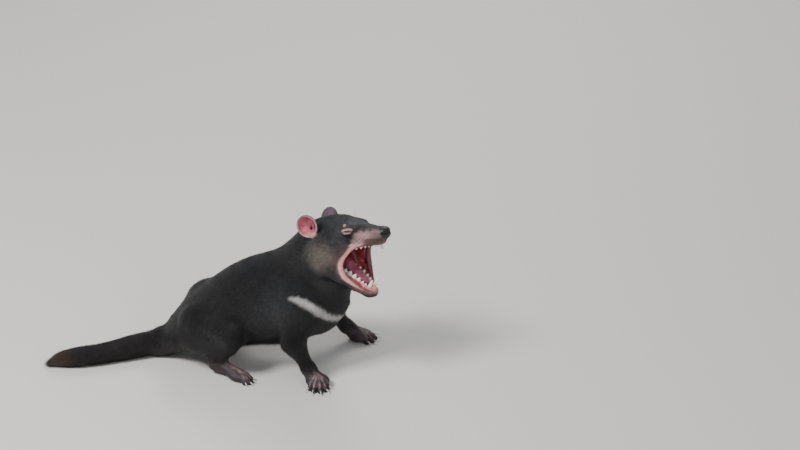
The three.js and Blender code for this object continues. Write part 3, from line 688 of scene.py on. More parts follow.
def make_piece(name, points, faces, material):
    """A mesh object from points in millimetres, placed in the frame."""
    mesh = bpy.data.meshes.new(name)
    faces = np.asarray(faces)
    mesh.vertices.add(len(points))
    mesh.vertices.foreach_set("co", ((points + ORIGIN) * MM).ravel())
    mesh.loops.add(faces.size)
    mesh.loops.foreach_set("vertex_index", faces.ravel())
    mesh.polygons.add(len(faces))
    mesh.polygons.foreach_set("loop_start", np.arange(len(faces)) * faces.shape[1])
    mesh.polygons.foreach_set("use_smooth", np.ones(len(faces), bool))
    mesh.update(calc_edges=True)
    mesh.validate()
    piece = bpy.data.objects.new(name, mesh)
    bpy.context.collection.objects.link(piece)
    mesh.materials.append(material)
    return piece


class Wire:
    """A socket of a material's nodes. Arithmetic on it makes Math nodes."""

    def __init__(self, tree, socket):
        self.tree, self.socket = tree, socket

    def add(self, kind, settings=None, values=None, output=0):
        """Any other node: its type, then its settings, then its inputs, each a value or a Wire."""
        node = self.tree.nodes.new("ShaderNode" + kind)
        for name, setting in (settings or {}).items():
            setattr(node, name, setting)
        for name, value in (values or {}).items():
            if isinstance(value, Wire):
                self.tree.links.new(value.socket, node.inputs[name])
            else:
                node.inputs[name].default_value = value
        return Wire(self.tree, node.outputs[output])

    def maths(self, operation, *values):
        return self.add("Math", {"operation": operation}, dict(enumerate(values)))

    def __add__(self, other):
        return self.maths("ADD", self, other)

    def __sub__(self, other):
        return self.maths("SUBTRACT", self, other)

    def __rsub__(self, other):
        return self.maths("SUBTRACT", other, self)

    def __mul__(self, other):
        return self.maths("MULTIPLY", self, other)

    __radd__, __rmul__ = __add__, __mul__

    def times(self, factor):
        """This colour, scaled by a number."""
        return self.add("VectorMath", {"operation": "SCALE"}, {0: self, "Scale": factor})

    def mixed(self, other, factor):
        return self.add("Mix", {"data_type": "RGBA"}, {"Factor": factor, "A": self, "B": other}, 2)


def new_material(name, constants):
    """A material, its Principled node and a first Wire to start from, which is Object coordinates."""
    material = bpy.data.materials.new(name)
    material.use_nodes = True
    tree = material.node_tree
    principled = tree.nodes["Principled BSDF"]
    for socket, value in constants.items():
        principled.inputs[socket].default_value = value
    place = Wire(tree, tree.nodes.new("ShaderNodeTexCoord").outputs["Object"])
    return material, principled, place


def feed(principled, **wires):
    for name, wire in wires.items():
        wire.tree.links.new(wire.socket, principled.inputs[name.replace("_", " ")])


def noise(place, scale, detail=2.0, roughness=0.5):
    return place.add("TexNoise", {}, {"Vector": place, "Scale": scale, "Detail": detail, "Roughness": roughness})


def bumped(place, height, strength, distance):
    return place.add("Bump", {}, {"Height": height, "Strength": strength, "Distance": distance})


def wander(points, size, seed):
    """A smooth, patchy number between about -1 and 1 for each point."""
    turns = np.random.default_rng(seed)
    total = np.zeros(len(points))
    for _ in range(7):
        way = turns.normal(size=3)
        way *= turns.uniform(0.7, 1.6) * 6.28 / size / np.linalg.norm(way)
        total += np.sin(points @ way + turns.uniform(0, 6.28))
    return total / 3.2


# The markings, as linear colours, and how wet each place is. Skin and coat both take them from here.
BLAZE = np.array(
    [
        (-84, -73, 161, 1.2),
        (-71, -74, 158, 3.4),
        (-57, -74, 152, 5.2),
        (-45, -70, 142, 5.8),
        (-36, -64, 133, 5.6),
        (-27, -50, 121, 5.0),
        (-20, -32, 114, 4.5),
        (-16, -10, 110, 4.2),
        (-18, 14, 113, 3.8),
        (-26, 36, 122, 3.2),
        (-36, 52, 132, 2.0),
    ]
)
for _ in range(4):
    BLAZE[:, :3] = settle(skin_field, BLAZE[:, :3], 8)
COAT_BLACK = (0.0095, 0.0092, 0.0106)
PAINTED_SHEEN_GREY = (0.036, 0.037, 0.041)
COAT_PAINTED_SHADE = (0.004, 0.004, 0.0046)
RUMP_BROWN = (0.0145, 0.0112, 0.0108)
CHEEK_BROWN = (0.19, 0.15, 0.13)
FACE_GREY = (0.038, 0.038, 0.045)
MUZZLE_PINK = (0.37, 0.22, 0.21)
MUZZLE_MAUVE = (0.10, 0.062, 0.068)
LID_PINK = (0.42, 0.26, 0.245)
LID_GREY = (0.085, 0.055, 0.055)
EYE_SURROUND = (0.012, 0.011, 0.012)
SLIT_RED = (0.2, 0.08, 0.075)
WHISKER_SPOT = (0.12, 0.065, 0.065)
LIP_PINK = (0.62, 0.30, 0.29)
LIP_BROWN = (0.075, 0.038, 0.033)
INNER_LIP_AND_SHADE = (0.15, 0.032, 0.038)
LIP_CORNER = (0.2, 0.115, 0.105)
MOUTH_RED = (0.30, 0.035, 0.05)
MOUTH_BACK_PAINTED_SHADE = (0.09, 0.008, 0.014)
GUM_PINK = (0.62, 0.26, 0.26)
PALATE_TAN = (0.46, 0.21, 0.15)
CHIN_RED = (0.13, 0.045, 0.035)
NOSE_BROWN = (0.010, 0.007, 0.0065)
EAR_PINK = (0.44, 0.115, 0.155)
EAR_RIM_PINK = (0.52, 0.27, 0.26)
EAR_CRIMSON_AND_SHADE = (0.25, 0.04, 0.055)
EAR_PAINTED_SHADOW = (0.09, 0.035, 0.045)
EAR_BACK = (0.075, 0.048, 0.062)
PAW_PURPLE = (0.027, 0.016, 0.019)
PAW_PALE = (0.30, 0.205, 0.20)
TOE_DARK = (0.02, 0.013, 0.014)
TAIL_BROWN = (0.05, 0.026, 0.018)
BLAZE_WHITE = (0.88, 0.86, 0.82)


def markings(points):
    """Red, green, blue and wetness for points on the skin."""
    h = into(points, HEAD_AT, HEAD_AXES)
    j = from_hinge(h)
    s = folded(h)
    speck = wander(points, 9, 1)
    patch = wander(points, 45, 2)
    fine = wander(points, 2.6, 3)
    colour = np.tile(COAT_BLACK, (len(points), 1))
    wet = np.zeros(len(points))

    def paint(target, mask, wetness=None):
        mask = np.clip(mask, 0, 1)
        colour[:] += (np.array(target) - colour) * mask[:, None]
        if wetness is not None:
            wet[:] += (wetness - wet) * mask

    ragged = 0.5 * speck + 0.3 * patch
    paint(RUMP_BROWN, step_between(points[:, 0] + 20 * patch, -150, -230))
    # Painted sheen: paler grey on the shoulder, the ribs and the haunches, where light catches the coat.
    painted_sheen = about(points, [-82, -62, 150], [48, 30, 40])
    painted_sheen += 0.8 * about(folded(points), [-235, 72, 82], [40, 26, 40])
    painted_sheen += 0.8 * about(folded(points), [-125, 70, 128], [30, 26, 34])
    paint(PAINTED_SHEEN_GREY, painted_sheen * (0.75 + 0.3 * speck) * (points[:, 2] < 190))
    # Painted shade: near-black in the hollow between haunch and ribs and down the side of the neck under the cheek.
    painted_shade = about(folded(points), [-178, 70, 100], [13, 26, 40])
    painted_shade += about(folded(points), [-52, 62, 188], [16, 30, 24])
    paint(COAT_PAINTED_SHADE, painted_shade * 0.9)
    paint(TAIL_BROWN, step_between(points[:, 0] + 8 * speck, -452, -480))
    blaze = chain(points, [tuple(b) for b in BLAZE], 0.5) + 1.4 * speck + 0.8 * patch
    paint(BLAZE_WHITE, step_between(blaze, 2.2, -1.6))
    # The face.
    head = step_between(np.linalg.norm(h - [45, 0, -20], axis=1), 105, 75)
    face = head * step_between(points[:, 2], 150, 165)
    paint(FACE_GREY, face * 0.55 * step_between(s[:, 1] + 3 * patch, 10, 24) * step_between(h[:, 0], -25, -5))
    brown = about(s, [17, 46, -26], [32, 30, 26])
    paint(CHEEK_BROWN, face * step_between(brown + 0.14 * ragged, 0.1, 0.95))
    to_corner = step_between(np.linalg.norm((s - [50, 34, -40]) / [1, 1, 1.6], axis=1), 26, 10)
    paint(LIP_CORNER, face * 0.7 * to_corner)
    bare = step_between(h[:, 0] - 0.25 * h[:, 2] + 2.5 * speck, 60, 71) * step_between(h[:, 2] + 2 * speck, 13.5, 4)
    bare *= step_between(h[:, 2] + 2 * speck, -30, -20)
    paint(MUZZLE_PINK, face * bare * step_between(s[:, 1], 6, 12))
    dots = step_between(np.sin(h[:, 0] * 0.8 + 0.15 * h[:, 2]) * np.sin(h[:, 2] * 0.85 + 0.5), 0.35, 0.85)
    paint(WHISKER_SPOT, face * bare * 0.85 * dots * step_between(np.abs(h[:, 0] - 84), 16, 11))
    paint(MUZZLE_MAUVE, face * bare * 0.85 * step_between(h[:, 0] - 0.25 * h[:, 2] + 2 * speck, 90, 106))
    below = head * step_between(j[:, 2], -16, -24) * step_between(j[:, 0], 76, 92) * step_between(h[:, 2], -40, -60)
    paint(CHIN_RED, below)
    # Lids, with a darker edge to them, and the wart over each.
    for sign in (-1, 1):
        at, axes = eye_frame(sign)
        q = into(h, at, axes)
        opening = slit(q)
        front = step_between(q[:, 1], 0, 2.5)
        along = np.hypot(q[:, 0] / 10.5, (q[:, 2] - 0.1 * q[:, 0]) / 6.4)
        upper = np.abs(q[:, 2] - 2.6 - 0.24 * q[:, 0] + 0.016 * q[:, 0] ** 2 + 0.3 * fine)
        upper = step_between(upper, 2.3, 1.1) * step_between(np.abs(q[:, 0] - 1), 11, 7.5)
        lower = np.abs(q[:, 2] + 3.6 - 0.03 * q[:, 0] ** 2 + 0.3 * fine)
        lower = 0.8 * step_between(lower, 1.6, 0.7) * step_between(np.abs(q[:, 0] - 1.5), 7.5, 4.5)
        paint(EYE_SURROUND, front * step_between(np.hypot(q[:, 0] / 15, q[:, 2] / 10), 1.15, 0.8) * 0.75)
        paint(LID_GREY, front * step_between(along + 0.16 * fine, 1.1, 0.8), 0.3)
        paint(LID_PINK, front * np.maximum(upper, lower), 0.35)
        paint(SLIT_RED, front * step_between(opening, 0.9, 0.1), 0.8)
    paint(LID_PINK, step_between(np.linalg.norm(s - [55.3, 30.5, 23], axis=1), 3.8, 2.2), 0.2)
    # The mouth: lining, palate, gums and the rim of the lips, with painted shade towards the back of the mouth.
    hollow = mouth_hollow(h, j)
    lining = np.maximum(step_between(hollow, 1.6, 0.4) * step_between(h[:, 0], 5, 20), within_mouth(h, j))
    lining *= np.linalg.norm(h - [60, 0, -45], axis=1) < 75
    # Painted shade: the lining darkens towards the back of the mouth.
    depth = step_between(h[:, 0], 62, 30)
    paint(MOUTH_RED, lining, 0.9)
    paint(MOUTH_BACK_PAINTED_SHADE, lining * depth * 0.75)
    palate = lining * step_between(h[:, 2], -26, -18) * step_between(h[:, 0], 34, 48)
    paint(PALATE_TAN, palate, 0.85)
    gum = step_between(gums(h, j), 1.3, 0.2) * head
    paint(GUM_PINK, gum, 0.9)
    rim = step_between(lips(h), 1.5, 0.2) * head
    outer = step_between(hollow, 7.5, 4.5)
    # The rim's pink is full round the corner and below, and goes over to the muzzle's colour above.
    inward = within_mouth(h, j)
    paint(LIP_PINK, rim * outer * step_between(h[:, 0] + 1.3 * h[:, 2], 74, 56), 0.5)
    # Inner faces of the lips: dark maroon, partly their own colour and partly painted shade.
    paint(INNER_LIP_AND_SHADE, rim * inward * step_between(gums(h, j), 0.4, 2.0), 0.9)
    front_lip = head * step_between(h[:, 0] + 2 * speck, 78, 92) * step_between(np.abs(h[:, 2] + 11), 9, 6)
    paint(LIP_BROWN, front_lip * 0.9, 0.4)
    chin = head * step_between(j[:, 0] + 1.5 * speck, 94, 103) * step_between(hollow, 1, 4)
    chin *= step_between(h[:, 2], -60, -80)
    paint(CHIN_RED, chin * 0.9, 0.5)
    pad = step_between(nose_pad(h), 1.8, 0.5)
    paint(NOSE_BROWN, pad, 0.6)
    # Ears: pink in the cup with a paler rim, and dark behind, with painted shade deep in the cup, along its folds and
    # over its front.
    for side in ("right", "left"):
        at, axes, sign = ear_frame(side)
        q = into(h, at, axes) * [1, sign, 1]
        cup = ball(q, (0, 0, 0), (EAR_WIDTH / 2, EAR_DEPTH, EAR_HEIGHT / 2))
        near = step_between(np.linalg.norm(q, axis=1), 27, 23) * step_between(cup, 2.5, 1.2)
        paint(EAR_BACK, near * step_between(q[:, 2], -20, -12))
        inside = near * step_between(cup, -EAR_WALL / 2 + 0.3, -EAR_WALL / 2 - 0.8)
        paint(EAR_PINK, inside, 0.15)
        # Darker crimson deep in the cup and along its folds is painted shade; the veins and blotches are the ear's
        # own colour.
        painted_shade = step_between(np.linalg.norm((q - [6, -6, -6]) / [1, 1, 1.9], axis=1), 8, 2)
        folds = np.exp(-(((q[:, 0] + 0.5 - 0.12 * q[:, 2]) / 1.6) ** 2)) * step_between(np.abs(q[:, 2]), 14, 8)
        veins = step_between(np.abs(wander(q, 9, 6)), 0.16, 0.02) * 0.3
        paint(EAR_CRIMSON_AND_SHADE, inside * np.clip(0.85 * painted_shade + 0.5 * folds + veins, 0, 1))
        paint(EAR_CRIMSON_AND_SHADE, inside * step_between(wander(q, 15, 8), 0.1, 0.9) * 0.6)
        # Painted shadow over the front part of the cup.
        paint(EAR_PAINTED_SHADOW, inside * step_between(q[:, 0] + 0.2 * q[:, 2] + 0.8 * speck, 7, 14) * 0.8)
        rim_of_ear = near * step_between(q[:, 1], -0.6, 1.2) * step_between(q[:, 2] - 0.6 * q[:, 0], 26, 8)
        paint(EAR_RIM_PINK, rim_of_ear * 0.8)
    # Paws: bare purplish skin, paler on the toes.
    foot = np.zeros(len(points))
    toe = np.zeros(len(points))
    ray = np.zeros(len(points))  # the pale lines of tendon and toe along each foot
    for (kind, side), toes in TOES.items():
        leg = (FORELEGS if kind == "fore" else HINDLEGS)[side]
        middle = np.array(leg["hand"] if kind == "fore" else leg["sole"], float)
        reach = np.linalg.norm((points - middle) * [1, 1, 0], axis=1)
        if kind == "hind":
            reach = np.minimum(reach, bone(points, leg["heel"], 0, leg["sole"], 0))
        foot = np.maximum(foot, step_between(reach + 3 * speck, 42, 27))
        start = np.array(leg["wrist"] if kind == "fore" else leg["heel"], float)
        for root, tip in toes:
            line = [start * [1, 1, 0] + (root - start) * [0.35, 0.35, 0], root * [1, 1, 0], tip * [1, 1, 0]]
            off = np.minimum(*[bone(points * [1, 1, 0], a, 0, b, 0) for a, b in zip(line[:-1], line[1:])])
            ray = np.maximum(ray, step_between(off, 2.6, 0.5) * step_between(points[:, 2], 4, 8))
            toe = np.maximum(toe, step_between(np.linalg.norm(points - tip, axis=1), 8.5, 6))
    foot *= step_between(points[:, 2] + 3 * speck, 38, 18)
    paint(PAW_PURPLE, foot, 0.12)
    paint(PAW_PALE, foot * ray * (0.5 + 0.3 * np.clip(speck, -0.8, 0.8)))
    paint(TOE_DARK, foot * toe * 0.75)
    colour *= (1 + 0.10 * speck + 0.06 * patch)[:, None]
    return np.column_stack([np.clip(colour, 0.002, 0.95), wet])


def put_colour(piece, rgba):
    """Stores a colour for each point, with the wetness in its alpha."""
    layer = piece.data.color_attributes.new("markings", "FLOAT_COLOR", "POINT")
    layer.data.foreach_set("color", np.asarray(rgba, np.float32).ravel())


def skin_material():
    material, principled, place = new_material("hide", {"Specular IOR Level": 0.45, "Subsurface Weight": 0.12})
    principled.inputs["Subsurface Radius"].default_value = (0.004, 0.0015, 0.001)
    principled.inputs["Subsurface Scale"].default_value = 1.0
    paint = place.add("VertexColor", {"layer_name": "markings"})
    wet = Wire(place.tree, paint.socket.node.outputs["Alpha"])
    mottle = noise(place, 420, 3.0)
    pebbles = place.add("TexVoronoi", {"feature": "SMOOTH_F1"}, {"Vector": place, "Scale": 1100.0})
    creases = noise(place, 900, 3.0, 0.6) + 0.8 * noise(place, 260, 2.0)
    feed(
        principled,
        Base_Color=paint.times(0.86 + 0.28 * mottle),
        Roughness=0.62 - 0.36 * wet + 0.10 * (mottle - 0.5),
        Normal=bumped(place, creases + 0.8 * wet * pebbles, 0.45, 0.0008),
    )
    return material


skin = make_piece("hide", skin_points, skin_triangles, skin_material())
skin_markings = in_batches(markings, skin_points)
put_colour(skin, skin_markings)
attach(skin, "root")
flesh = [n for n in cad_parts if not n.startswith(("eye", "claw", "tongue"))]
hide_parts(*flesh)


# Eyes: wet dark brown balls, mostly hidden by the squinted lids, with a black pupil and a clear bulging cornea.
# Each ball is set in the skull behind the slit in its lids, and looks outwards and forwards.
WHITE_OF_EYE, IRIS_BROWN = np.array([0.42, 0.30, 0.26]), np.array([0.045, 0.02, 0.012])


def wet_eye_material():
    constants = {"Roughness": 0.06, "Coat Weight": 1.0, "Coat Roughness": 0.03}
    material, principled, place = new_material("wet_eye", constants)
    feed(principled, Base_Color=place.add("VertexColor", {"layer_name": "markings"}))
    return material


def round_ball(radius, rings=32, segments=48):
    """Points and triangles of a ball whose pole is +Y."""
    polar = np.linspace(0, math.pi, rings + 1)[1:-1]
    turn_by = np.arange(segments) * 2 * math.pi / segments
    a, b = np.meshgrid(polar, turn_by, indexing="ij")
    around = np.stack([np.sin(a) * np.cos(b), np.cos(a), np.sin(a) * np.sin(b)], axis=-1).reshape(-1, 3)
    points = np.vstack([[0, 1, 0], around, [0, -1, 0]]) * radius
    triangles = []
    for k in range(segments):
        n = (k + 1) % segments
        triangles.append((0, 1 + n, 1 + k))
        for r in range(rings - 2):
            c, d = 1 + r * segments, 1 + (r + 1) * segments
            triangles += [(c + k, c + n, d + n), (c + k, d + n, d + k)]
        c = 1 + (rings - 2) * segments
        triangles.append((c + k, c + n, len(points) - 1))
    return points, np.array(triangles)


eye_material = wet_eye_material()
for side, sign in (("right", -1), ("left", 1)):
    at, axes = eye_frame(sign)
    points, triangles = round_ball(EYE_RADIUS)
    towards = points[:, 1] / EYE_RADIUS
    points[:, 1] += 0.5 * step_between(towards, 0.75, 1.0)
    iris = step_between(towards, 0.70, 0.74)
    pupil = step_between(towards, 0.925, 0.94)
    tint = WHITE_OF_EYE + iris[:, None] * (IRIS_BROWN - WHITE_OF_EYE)
    tint = tint * (1 - 0.95 * pupil[:, None])
    placed = out_of(out_of(points, at, axes), HEAD_AT, HEAD_AXES)
    if np.linalg.det(axes) < 0:
        triangles = triangles[:, ::-1]
    eyeball = make_piece(f"eyeball_{side}", placed, triangles, eye_material)
    put_colour(eyeball, np.column_stack([tint, np.ones(len(tint))]))
    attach(eyeball, "root")
    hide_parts(f"eye_{side}")


def lathe_along(spine, radii, sides, flat=1.0, side_way=None):
    """A closed tapering rod through the points of a spine, with a radius at each and a point at its end."""
    spine = np.asarray(spine, float)
    tangent = np.gradient(spine, axis=0)
    tangent /= np.linalg.norm(tangent, axis=1, keepdims=True)
    side_way = np.array(side_way if side_way is not None else (0.3, 0.2, 0.93), float)
    u = np.cross(tangent, side_way)
    u /= np.linalg.norm(u, axis=1, keepdims=True)
    v = np.cross(tangent, u)
    angle = np.arange(sides) * 2 * math.pi / sides
    ring = np.cos(angle)[None, :, None] * u[:-1, None] + flat * np.sin(angle)[None, :, None] * v[:-1, None]
    points = spine[:-1, None] + ring * np.asarray(radii, float)[:-1, None, None]
    count = len(spine) - 1
    points = np.vstack([points.reshape(-1, 3), spine[-1], spine[0]])
    tip, root = count * sides, count * sides + 1
    triangles = []
    for k in range(sides):
        n = (k + 1) % sides
        triangles.append((root, n, k))
        for r in range(count - 1):
            a, b = r * sides, (r + 1) * sides
            triangles += [(a + k, a + n, b + n), (a + k, b + n, b + k)]
        a = (count - 1) * sides
        triangles.append((a + k, a + n, tip))
    return points, np.array(triangles)


def shades(t, sides, root, end, low, high):
    """The colours of such a rod, which go over from the root's to the end's between two shares of its length."""
    along = np.append(np.repeat(t[:-1], sides), [1.0, 0.0])
    shade = root + step_between(along, low, high)[:, None] * (end - root)
    return np.column_stack([shade, np.ones(len(shade))])


def joined(parts):
    """One set of points and triangles, with a colour for each point, from many."""
    points, triangles, colours, start = [], [], [], 0
    for p, t, c in parts:
        points.append(p)
        triangles.append(t + start)
        colours.append(c)
        start += len(p)
    return np.vstack(points), np.vstack(triangles), np.vstack(colours)


# Teeth: small incisors, long curved canines and broad pointed cheek teeth of pale enamel, set in the gums of each
# jaw. Each is a tapered rod, bent a little towards the front.
UPPER_TEETH = [
    *[(x, 1.5, 4.2, 1) for x in (109, 106.5, 104)],
    (97, 3.5, 14.5, 1.7),
    (89, 2.1, 4.4, 1.6),
    (83, 2.4, 5.2, 1.6),
    (75.5, 3.3, 6.4, 1.5),
    (67, 3.6, 7.0, 1.5),
    (58.5, 3.5, 6.2, 1.5),
    (50, 2.9, 4.6, 1.4),
]
LOWER_TEETH = [
    *[(x, 1.4, 4.4, 1) for x in (109, 107, 105)],
    (101, 3.2, 15.5, 1.5),
    (93, 2.1, 4.6, 1.6),
    (87, 2.4, 5.8, 1.6),
    (79, 3.3, 7.4, 1.5),
    (70, 3.7, 8.6, 1.5),
    (60.5, 3.8, 8.2, 1.5),
    (51.5, 3.3, 6.6, 1.4),
]
ENAMEL, ENAMEL_ROOT = np.array([0.86, 0.81, 0.72]), np.array([0.55, 0.38, 0.27])


def tooth_material():
    constants = {"Roughness": 0.3, "Subsurface Weight": 0.15, "Coat Weight": 0.25, "Coat Roughness": 0.2}
    material, principled, place = new_material("enamel", constants)
    paint = place.add("VertexColor", {"layer_name": "markings"})
    feed(
        principled,
        Base_Color=paint.times(0.9 + 0.2 * noise(place, 300)),
        Normal=bumped(place, noise(place, 700), 0.15, 0.0004),
    )
    return material


def teeth_of(kinds, jaw, up):
    gum = -13.5 if jaw == "upper" else -16.5
    made = []
    for x, radius, height, broad in kinds:
        for sign in (-1, 1):
            y = sign * float(row_half_width(x, jaw))
            canine = height > 12
            t = np.linspace(0, 1, 9)
            lean_x = (3.5 if jaw == "upper" else 1.5) * t**1.4 - (3.0 if canine and jaw == "lower" else 0) * t**2
            lean_y = sign * (1.6 if canine else 0.2) * np.sin(t * 1.6)
            if not canine:
                lean_x = 0.6 * t
            rise = up * (-3.0 + (height + 3.0 + 2.0) * t)
            spine = np.column_stack([x + lean_x, y + lean_y, gum + rise])
            taper = np.sqrt(np.maximum(0, 1 - t ** (2.6 if canine else 1.9)))
            if not canine and radius > 2:
                taper = np.minimum(taper, 1.25 * (1 - t) ** 0.7 + 0.03)
            points, triangles = lathe_along(spine, radius * (0.86 + 0.14 * np.cos(t * 2)) * taper, 12, 1.0, (1, 0, 0))
            points[:, 0] = x + (points[:, 0] - x) * (broad if not canine else 1.15)
            made.append((points, triangles, shades(t, 12, ENAMEL_ROOT, ENAMEL, 0.25, 0.55)))
            if radius > 3 and not canine:
                # A lower cusp before and behind the main one.
                for ahead, share in ((-1, 0.6), (1, 0.74)):
                    rest = up * -3.0 * (1 - share)
                    beside = x + ahead * 3.1 + 0.4 * ahead * t
                    small = np.column_stack([beside, y - sign * (0.6 + t), gum + rise * share + rest])
                    points, triangles = lathe_along(small, radius * 0.66 * taper, 10, 1.0, (1, 0, 0))
                    made.append((points, triangles, shades(t, 10, ENAMEL_ROOT, ENAMEL, 0.25, 0.55)))
    return joined(made)


enamel = tooth_material()
for jaw, kinds, up, at, axes, node in (
    ("upper", UPPER_TEETH, -1, HEAD_AT, HEAD_AXES, "head"),
    ("lower", LOWER_TEETH, 1, JAW_AT, JAW_AXES, "lower_jaw"),
):
    points, triangles, colours = teeth_of(kinds, jaw, up)
    teeth = make_piece(f"teeth_{jaw}", out_of(points, at, axes), triangles, enamel)
    put_colour(teeth, colours)
    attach(teeth, "root")
    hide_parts(node)


# Tongue: a long flat wet muscle that lies along the floor of the mouth, with a groove down its middle. It is
# made in the lower jaw's frame, and its back and underside are sunk in the mouth's lining.
TONGUE_RED, TONGUE_DARK = (0.31, 0.065, 0.10, 1), (0.19, 0.036, 0.062, 1)


def tongue_field(j):
    middle = [(22, 0, -9, 9.5), (45, 0, -9, 9.8), (66, 0, -12.5, 8.6), (84, 0, -15.5, 6.4), (92, 0, -17, 4.2)]
    body = chain(j, middle, 4)
    wide = ball(j, (58, 0, -12), (36, 12.5, 7))
    groove = 0.9 * np.exp(-((j[:, 1] / 2.2) ** 2)) * step_between(j[:, 2], -12, -6)
    return blend(body, wide, 5) + groove + 0.25 * wander(j, 7, 5)


tongue_points, tongue_triangles = surface_net(
    tongue_field,
    [uneven(4, 1.2, 104), uneven(-18, 1.2, 18), uneven(-28, 1.2, 8)],
)
for _ in range(2):
    tongue_points = settle(tongue_field, tongue_points, 0.6)


def tongue_material():
    constants = {"Roughness": 0.3, "Subsurface Weight": 0.15, "Coat Weight": 0.35, "Coat Roughness": 0.15}
    material, principled, place = new_material("tongue", constants)
    red = place.add("RGB", {}, {})
    red.socket.default_value = TONGUE_RED
    feed(
        principled,
        Base_Color=red.mixed(TONGUE_DARK, noise(place, 160, 3.0)),
        Normal=bumped(place, noise(place, 1400, 2.0) + 0.5 * noise(place, 500), 0.5, 0.0006),
    )
    return material


tongue = make_piece("tongue_flesh", out_of(tongue_points, JAW_AT, JAW_AXES), tongue_triangles, tongue_material())
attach(tongue, "root")
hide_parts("tongue")


# Claws: curved points of pale horn, darker where they leave the toe, one to a toe and longest on the forefeet.
# Each grows out of the end of its toe, with a short root under the skin.
CLAW_RADIUS, CLAW_ROOT, CLAW_DROOP = 1.9, 2.5, 6.0
CLAW_LENGTH = {"fore": 13.5, "hind": 10.5}
HORN_ROOT, HORN_PALE = np.array([0.16, 0.10, 0.09]), np.array([0.58, 0.47, 0.40])


def horn_material():
    material, principled, place = new_material("horn", {"Roughness": 0.34, "Subsurface Weight": 0.1})
    paint = place.add("VertexColor", {"layer_name": "markings"})
    feed(
        principled,
        Base_Color=paint.times(0.8 + 0.4 * noise(place, 500)),
        Normal=bumped(place, noise(place, 900), 0.2, 0.0004),
    )
    return material


horn = horn_material()
for (kind, side), toes in TOES.items():
    claws = []
    for root, tip in toes:
        way = (tip - root) * [1, 1, 0]
        way /= np.linalg.norm(way)
        t = np.linspace(0, 1, 12)
        reach = -CLAW_ROOT + (CLAW_LENGTH[kind] + CLAW_ROOT) * t
        spine = tip + way * reach[:, None] + np.outer(1.6 + 2.4 * t - CLAW_DROOP * t * t, [0, 0, 1])
        width = CLAW_RADIUS * (1 - t) ** 0.55
        points, triangles = lathe_along(spine, width, 12, 0.8, (-way[1], way[0], 0))
        claws.append((points, triangles, shades(t, 12, HORN_ROOT, HORN_PALE, 0.15, 0.6)))
    points, triangles, colours = joined(claws)
    points[:, 2] = np.maximum(points[:, 2], FLOOR_TRIM + 0.05)
    claw_set = make_piece(f"claws_{kind}_{side}", points, triangles, horn)
    put_colour(claw_set, colours)
    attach(claw_set, "root")
    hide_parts(*[f"claw_{kind}_{side}_{i + 1}" for i in range(len(toes))])


# Whiskers: stiff black hairs in rows on each side of the muzzle, a few over each eye and on the cheek. Each grows
# from a point that carries its way and length, and is a thin rod that tapers and bends back.
WHISKER_RADIUS = 0.17
WHISKER_BLACK = (0.012, 0.010, 0.010, 1)


def whisker_roots():
    chance = np.random.default_rng(7)
    roots, ways, lengths = [], [], []
    for sign in (-1, 1):
        for row in range(4):
            for place in range(5):
                x, z = 100 - 6.2 * place - 1.5 * (row % 2), 5.5 - 4.2 * row + 0.35 * place
                way = np.array([0.15 - 0.16 * place, 1.0, 0.32 - 0.26 * row]) + chance.normal(0, 0.08, 3)
                roots.append((x, sign * 40, z))
                ways.append(way * [1, sign, 1])
                lengths.append(14 + 5.5 * place + chance.uniform(-3, 3))
        for x, z, rise in ((54, 26, 0.9), (58, 26.5, 0.8), (51, 25, 0.7)):
            roots.append((x, sign * 44, z))
            ways.append(np.array([-0.2, sign * 0.6, rise]) + chance.normal(0, 0.08, 3))
            lengths.append(18)
        for x, z in ((26, -22), (29, -27), (23, -28)):
            roots.append((x, sign * 66, z))
            ways.append(np.array([-0.5, sign * 0.8, -0.25]) + chance.normal(0, 0.1, 3))
            lengths.append(20)
    return np.array(roots, float), np.array(ways), np.array(lengths)


roots, ways, lengths = whisker_roots()
ways /= np.linalg.norm(ways, axis=1, keepdims=True)
# Each root is slid in towards the middle of the head until it is just under the skin.
for _ in range(60):
    gap = skin_field(out_of(roots, HEAD_AT, HEAD_AXES))
    roots[:, 1] -= np.sign(roots[:, 1]) * np.clip(gap + 0.8, -1, 2) * 0.6
seeds = bpy.data.meshes.new("whisker_roots")
seeds.from_pydata((out_of(roots, HEAD_AT, HEAD_AXES) + ORIGIN) * MM, [], [])
for name, kind, values in (("way", "FLOAT_VECTOR", ways @ HEAD_AXES.T), ("length", "FLOAT", lengths * MM)):
    layer = seeds.attributes.new(name, kind, "POINT")
    layer.data.foreach_set("vector" if kind == "FLOAT_VECTOR" else "value", values.astype(np.float32).ravel())
whiskers = bpy.data.objects.new("whiskers", seeds)
bpy.context.collection.objects.link(whiskers)


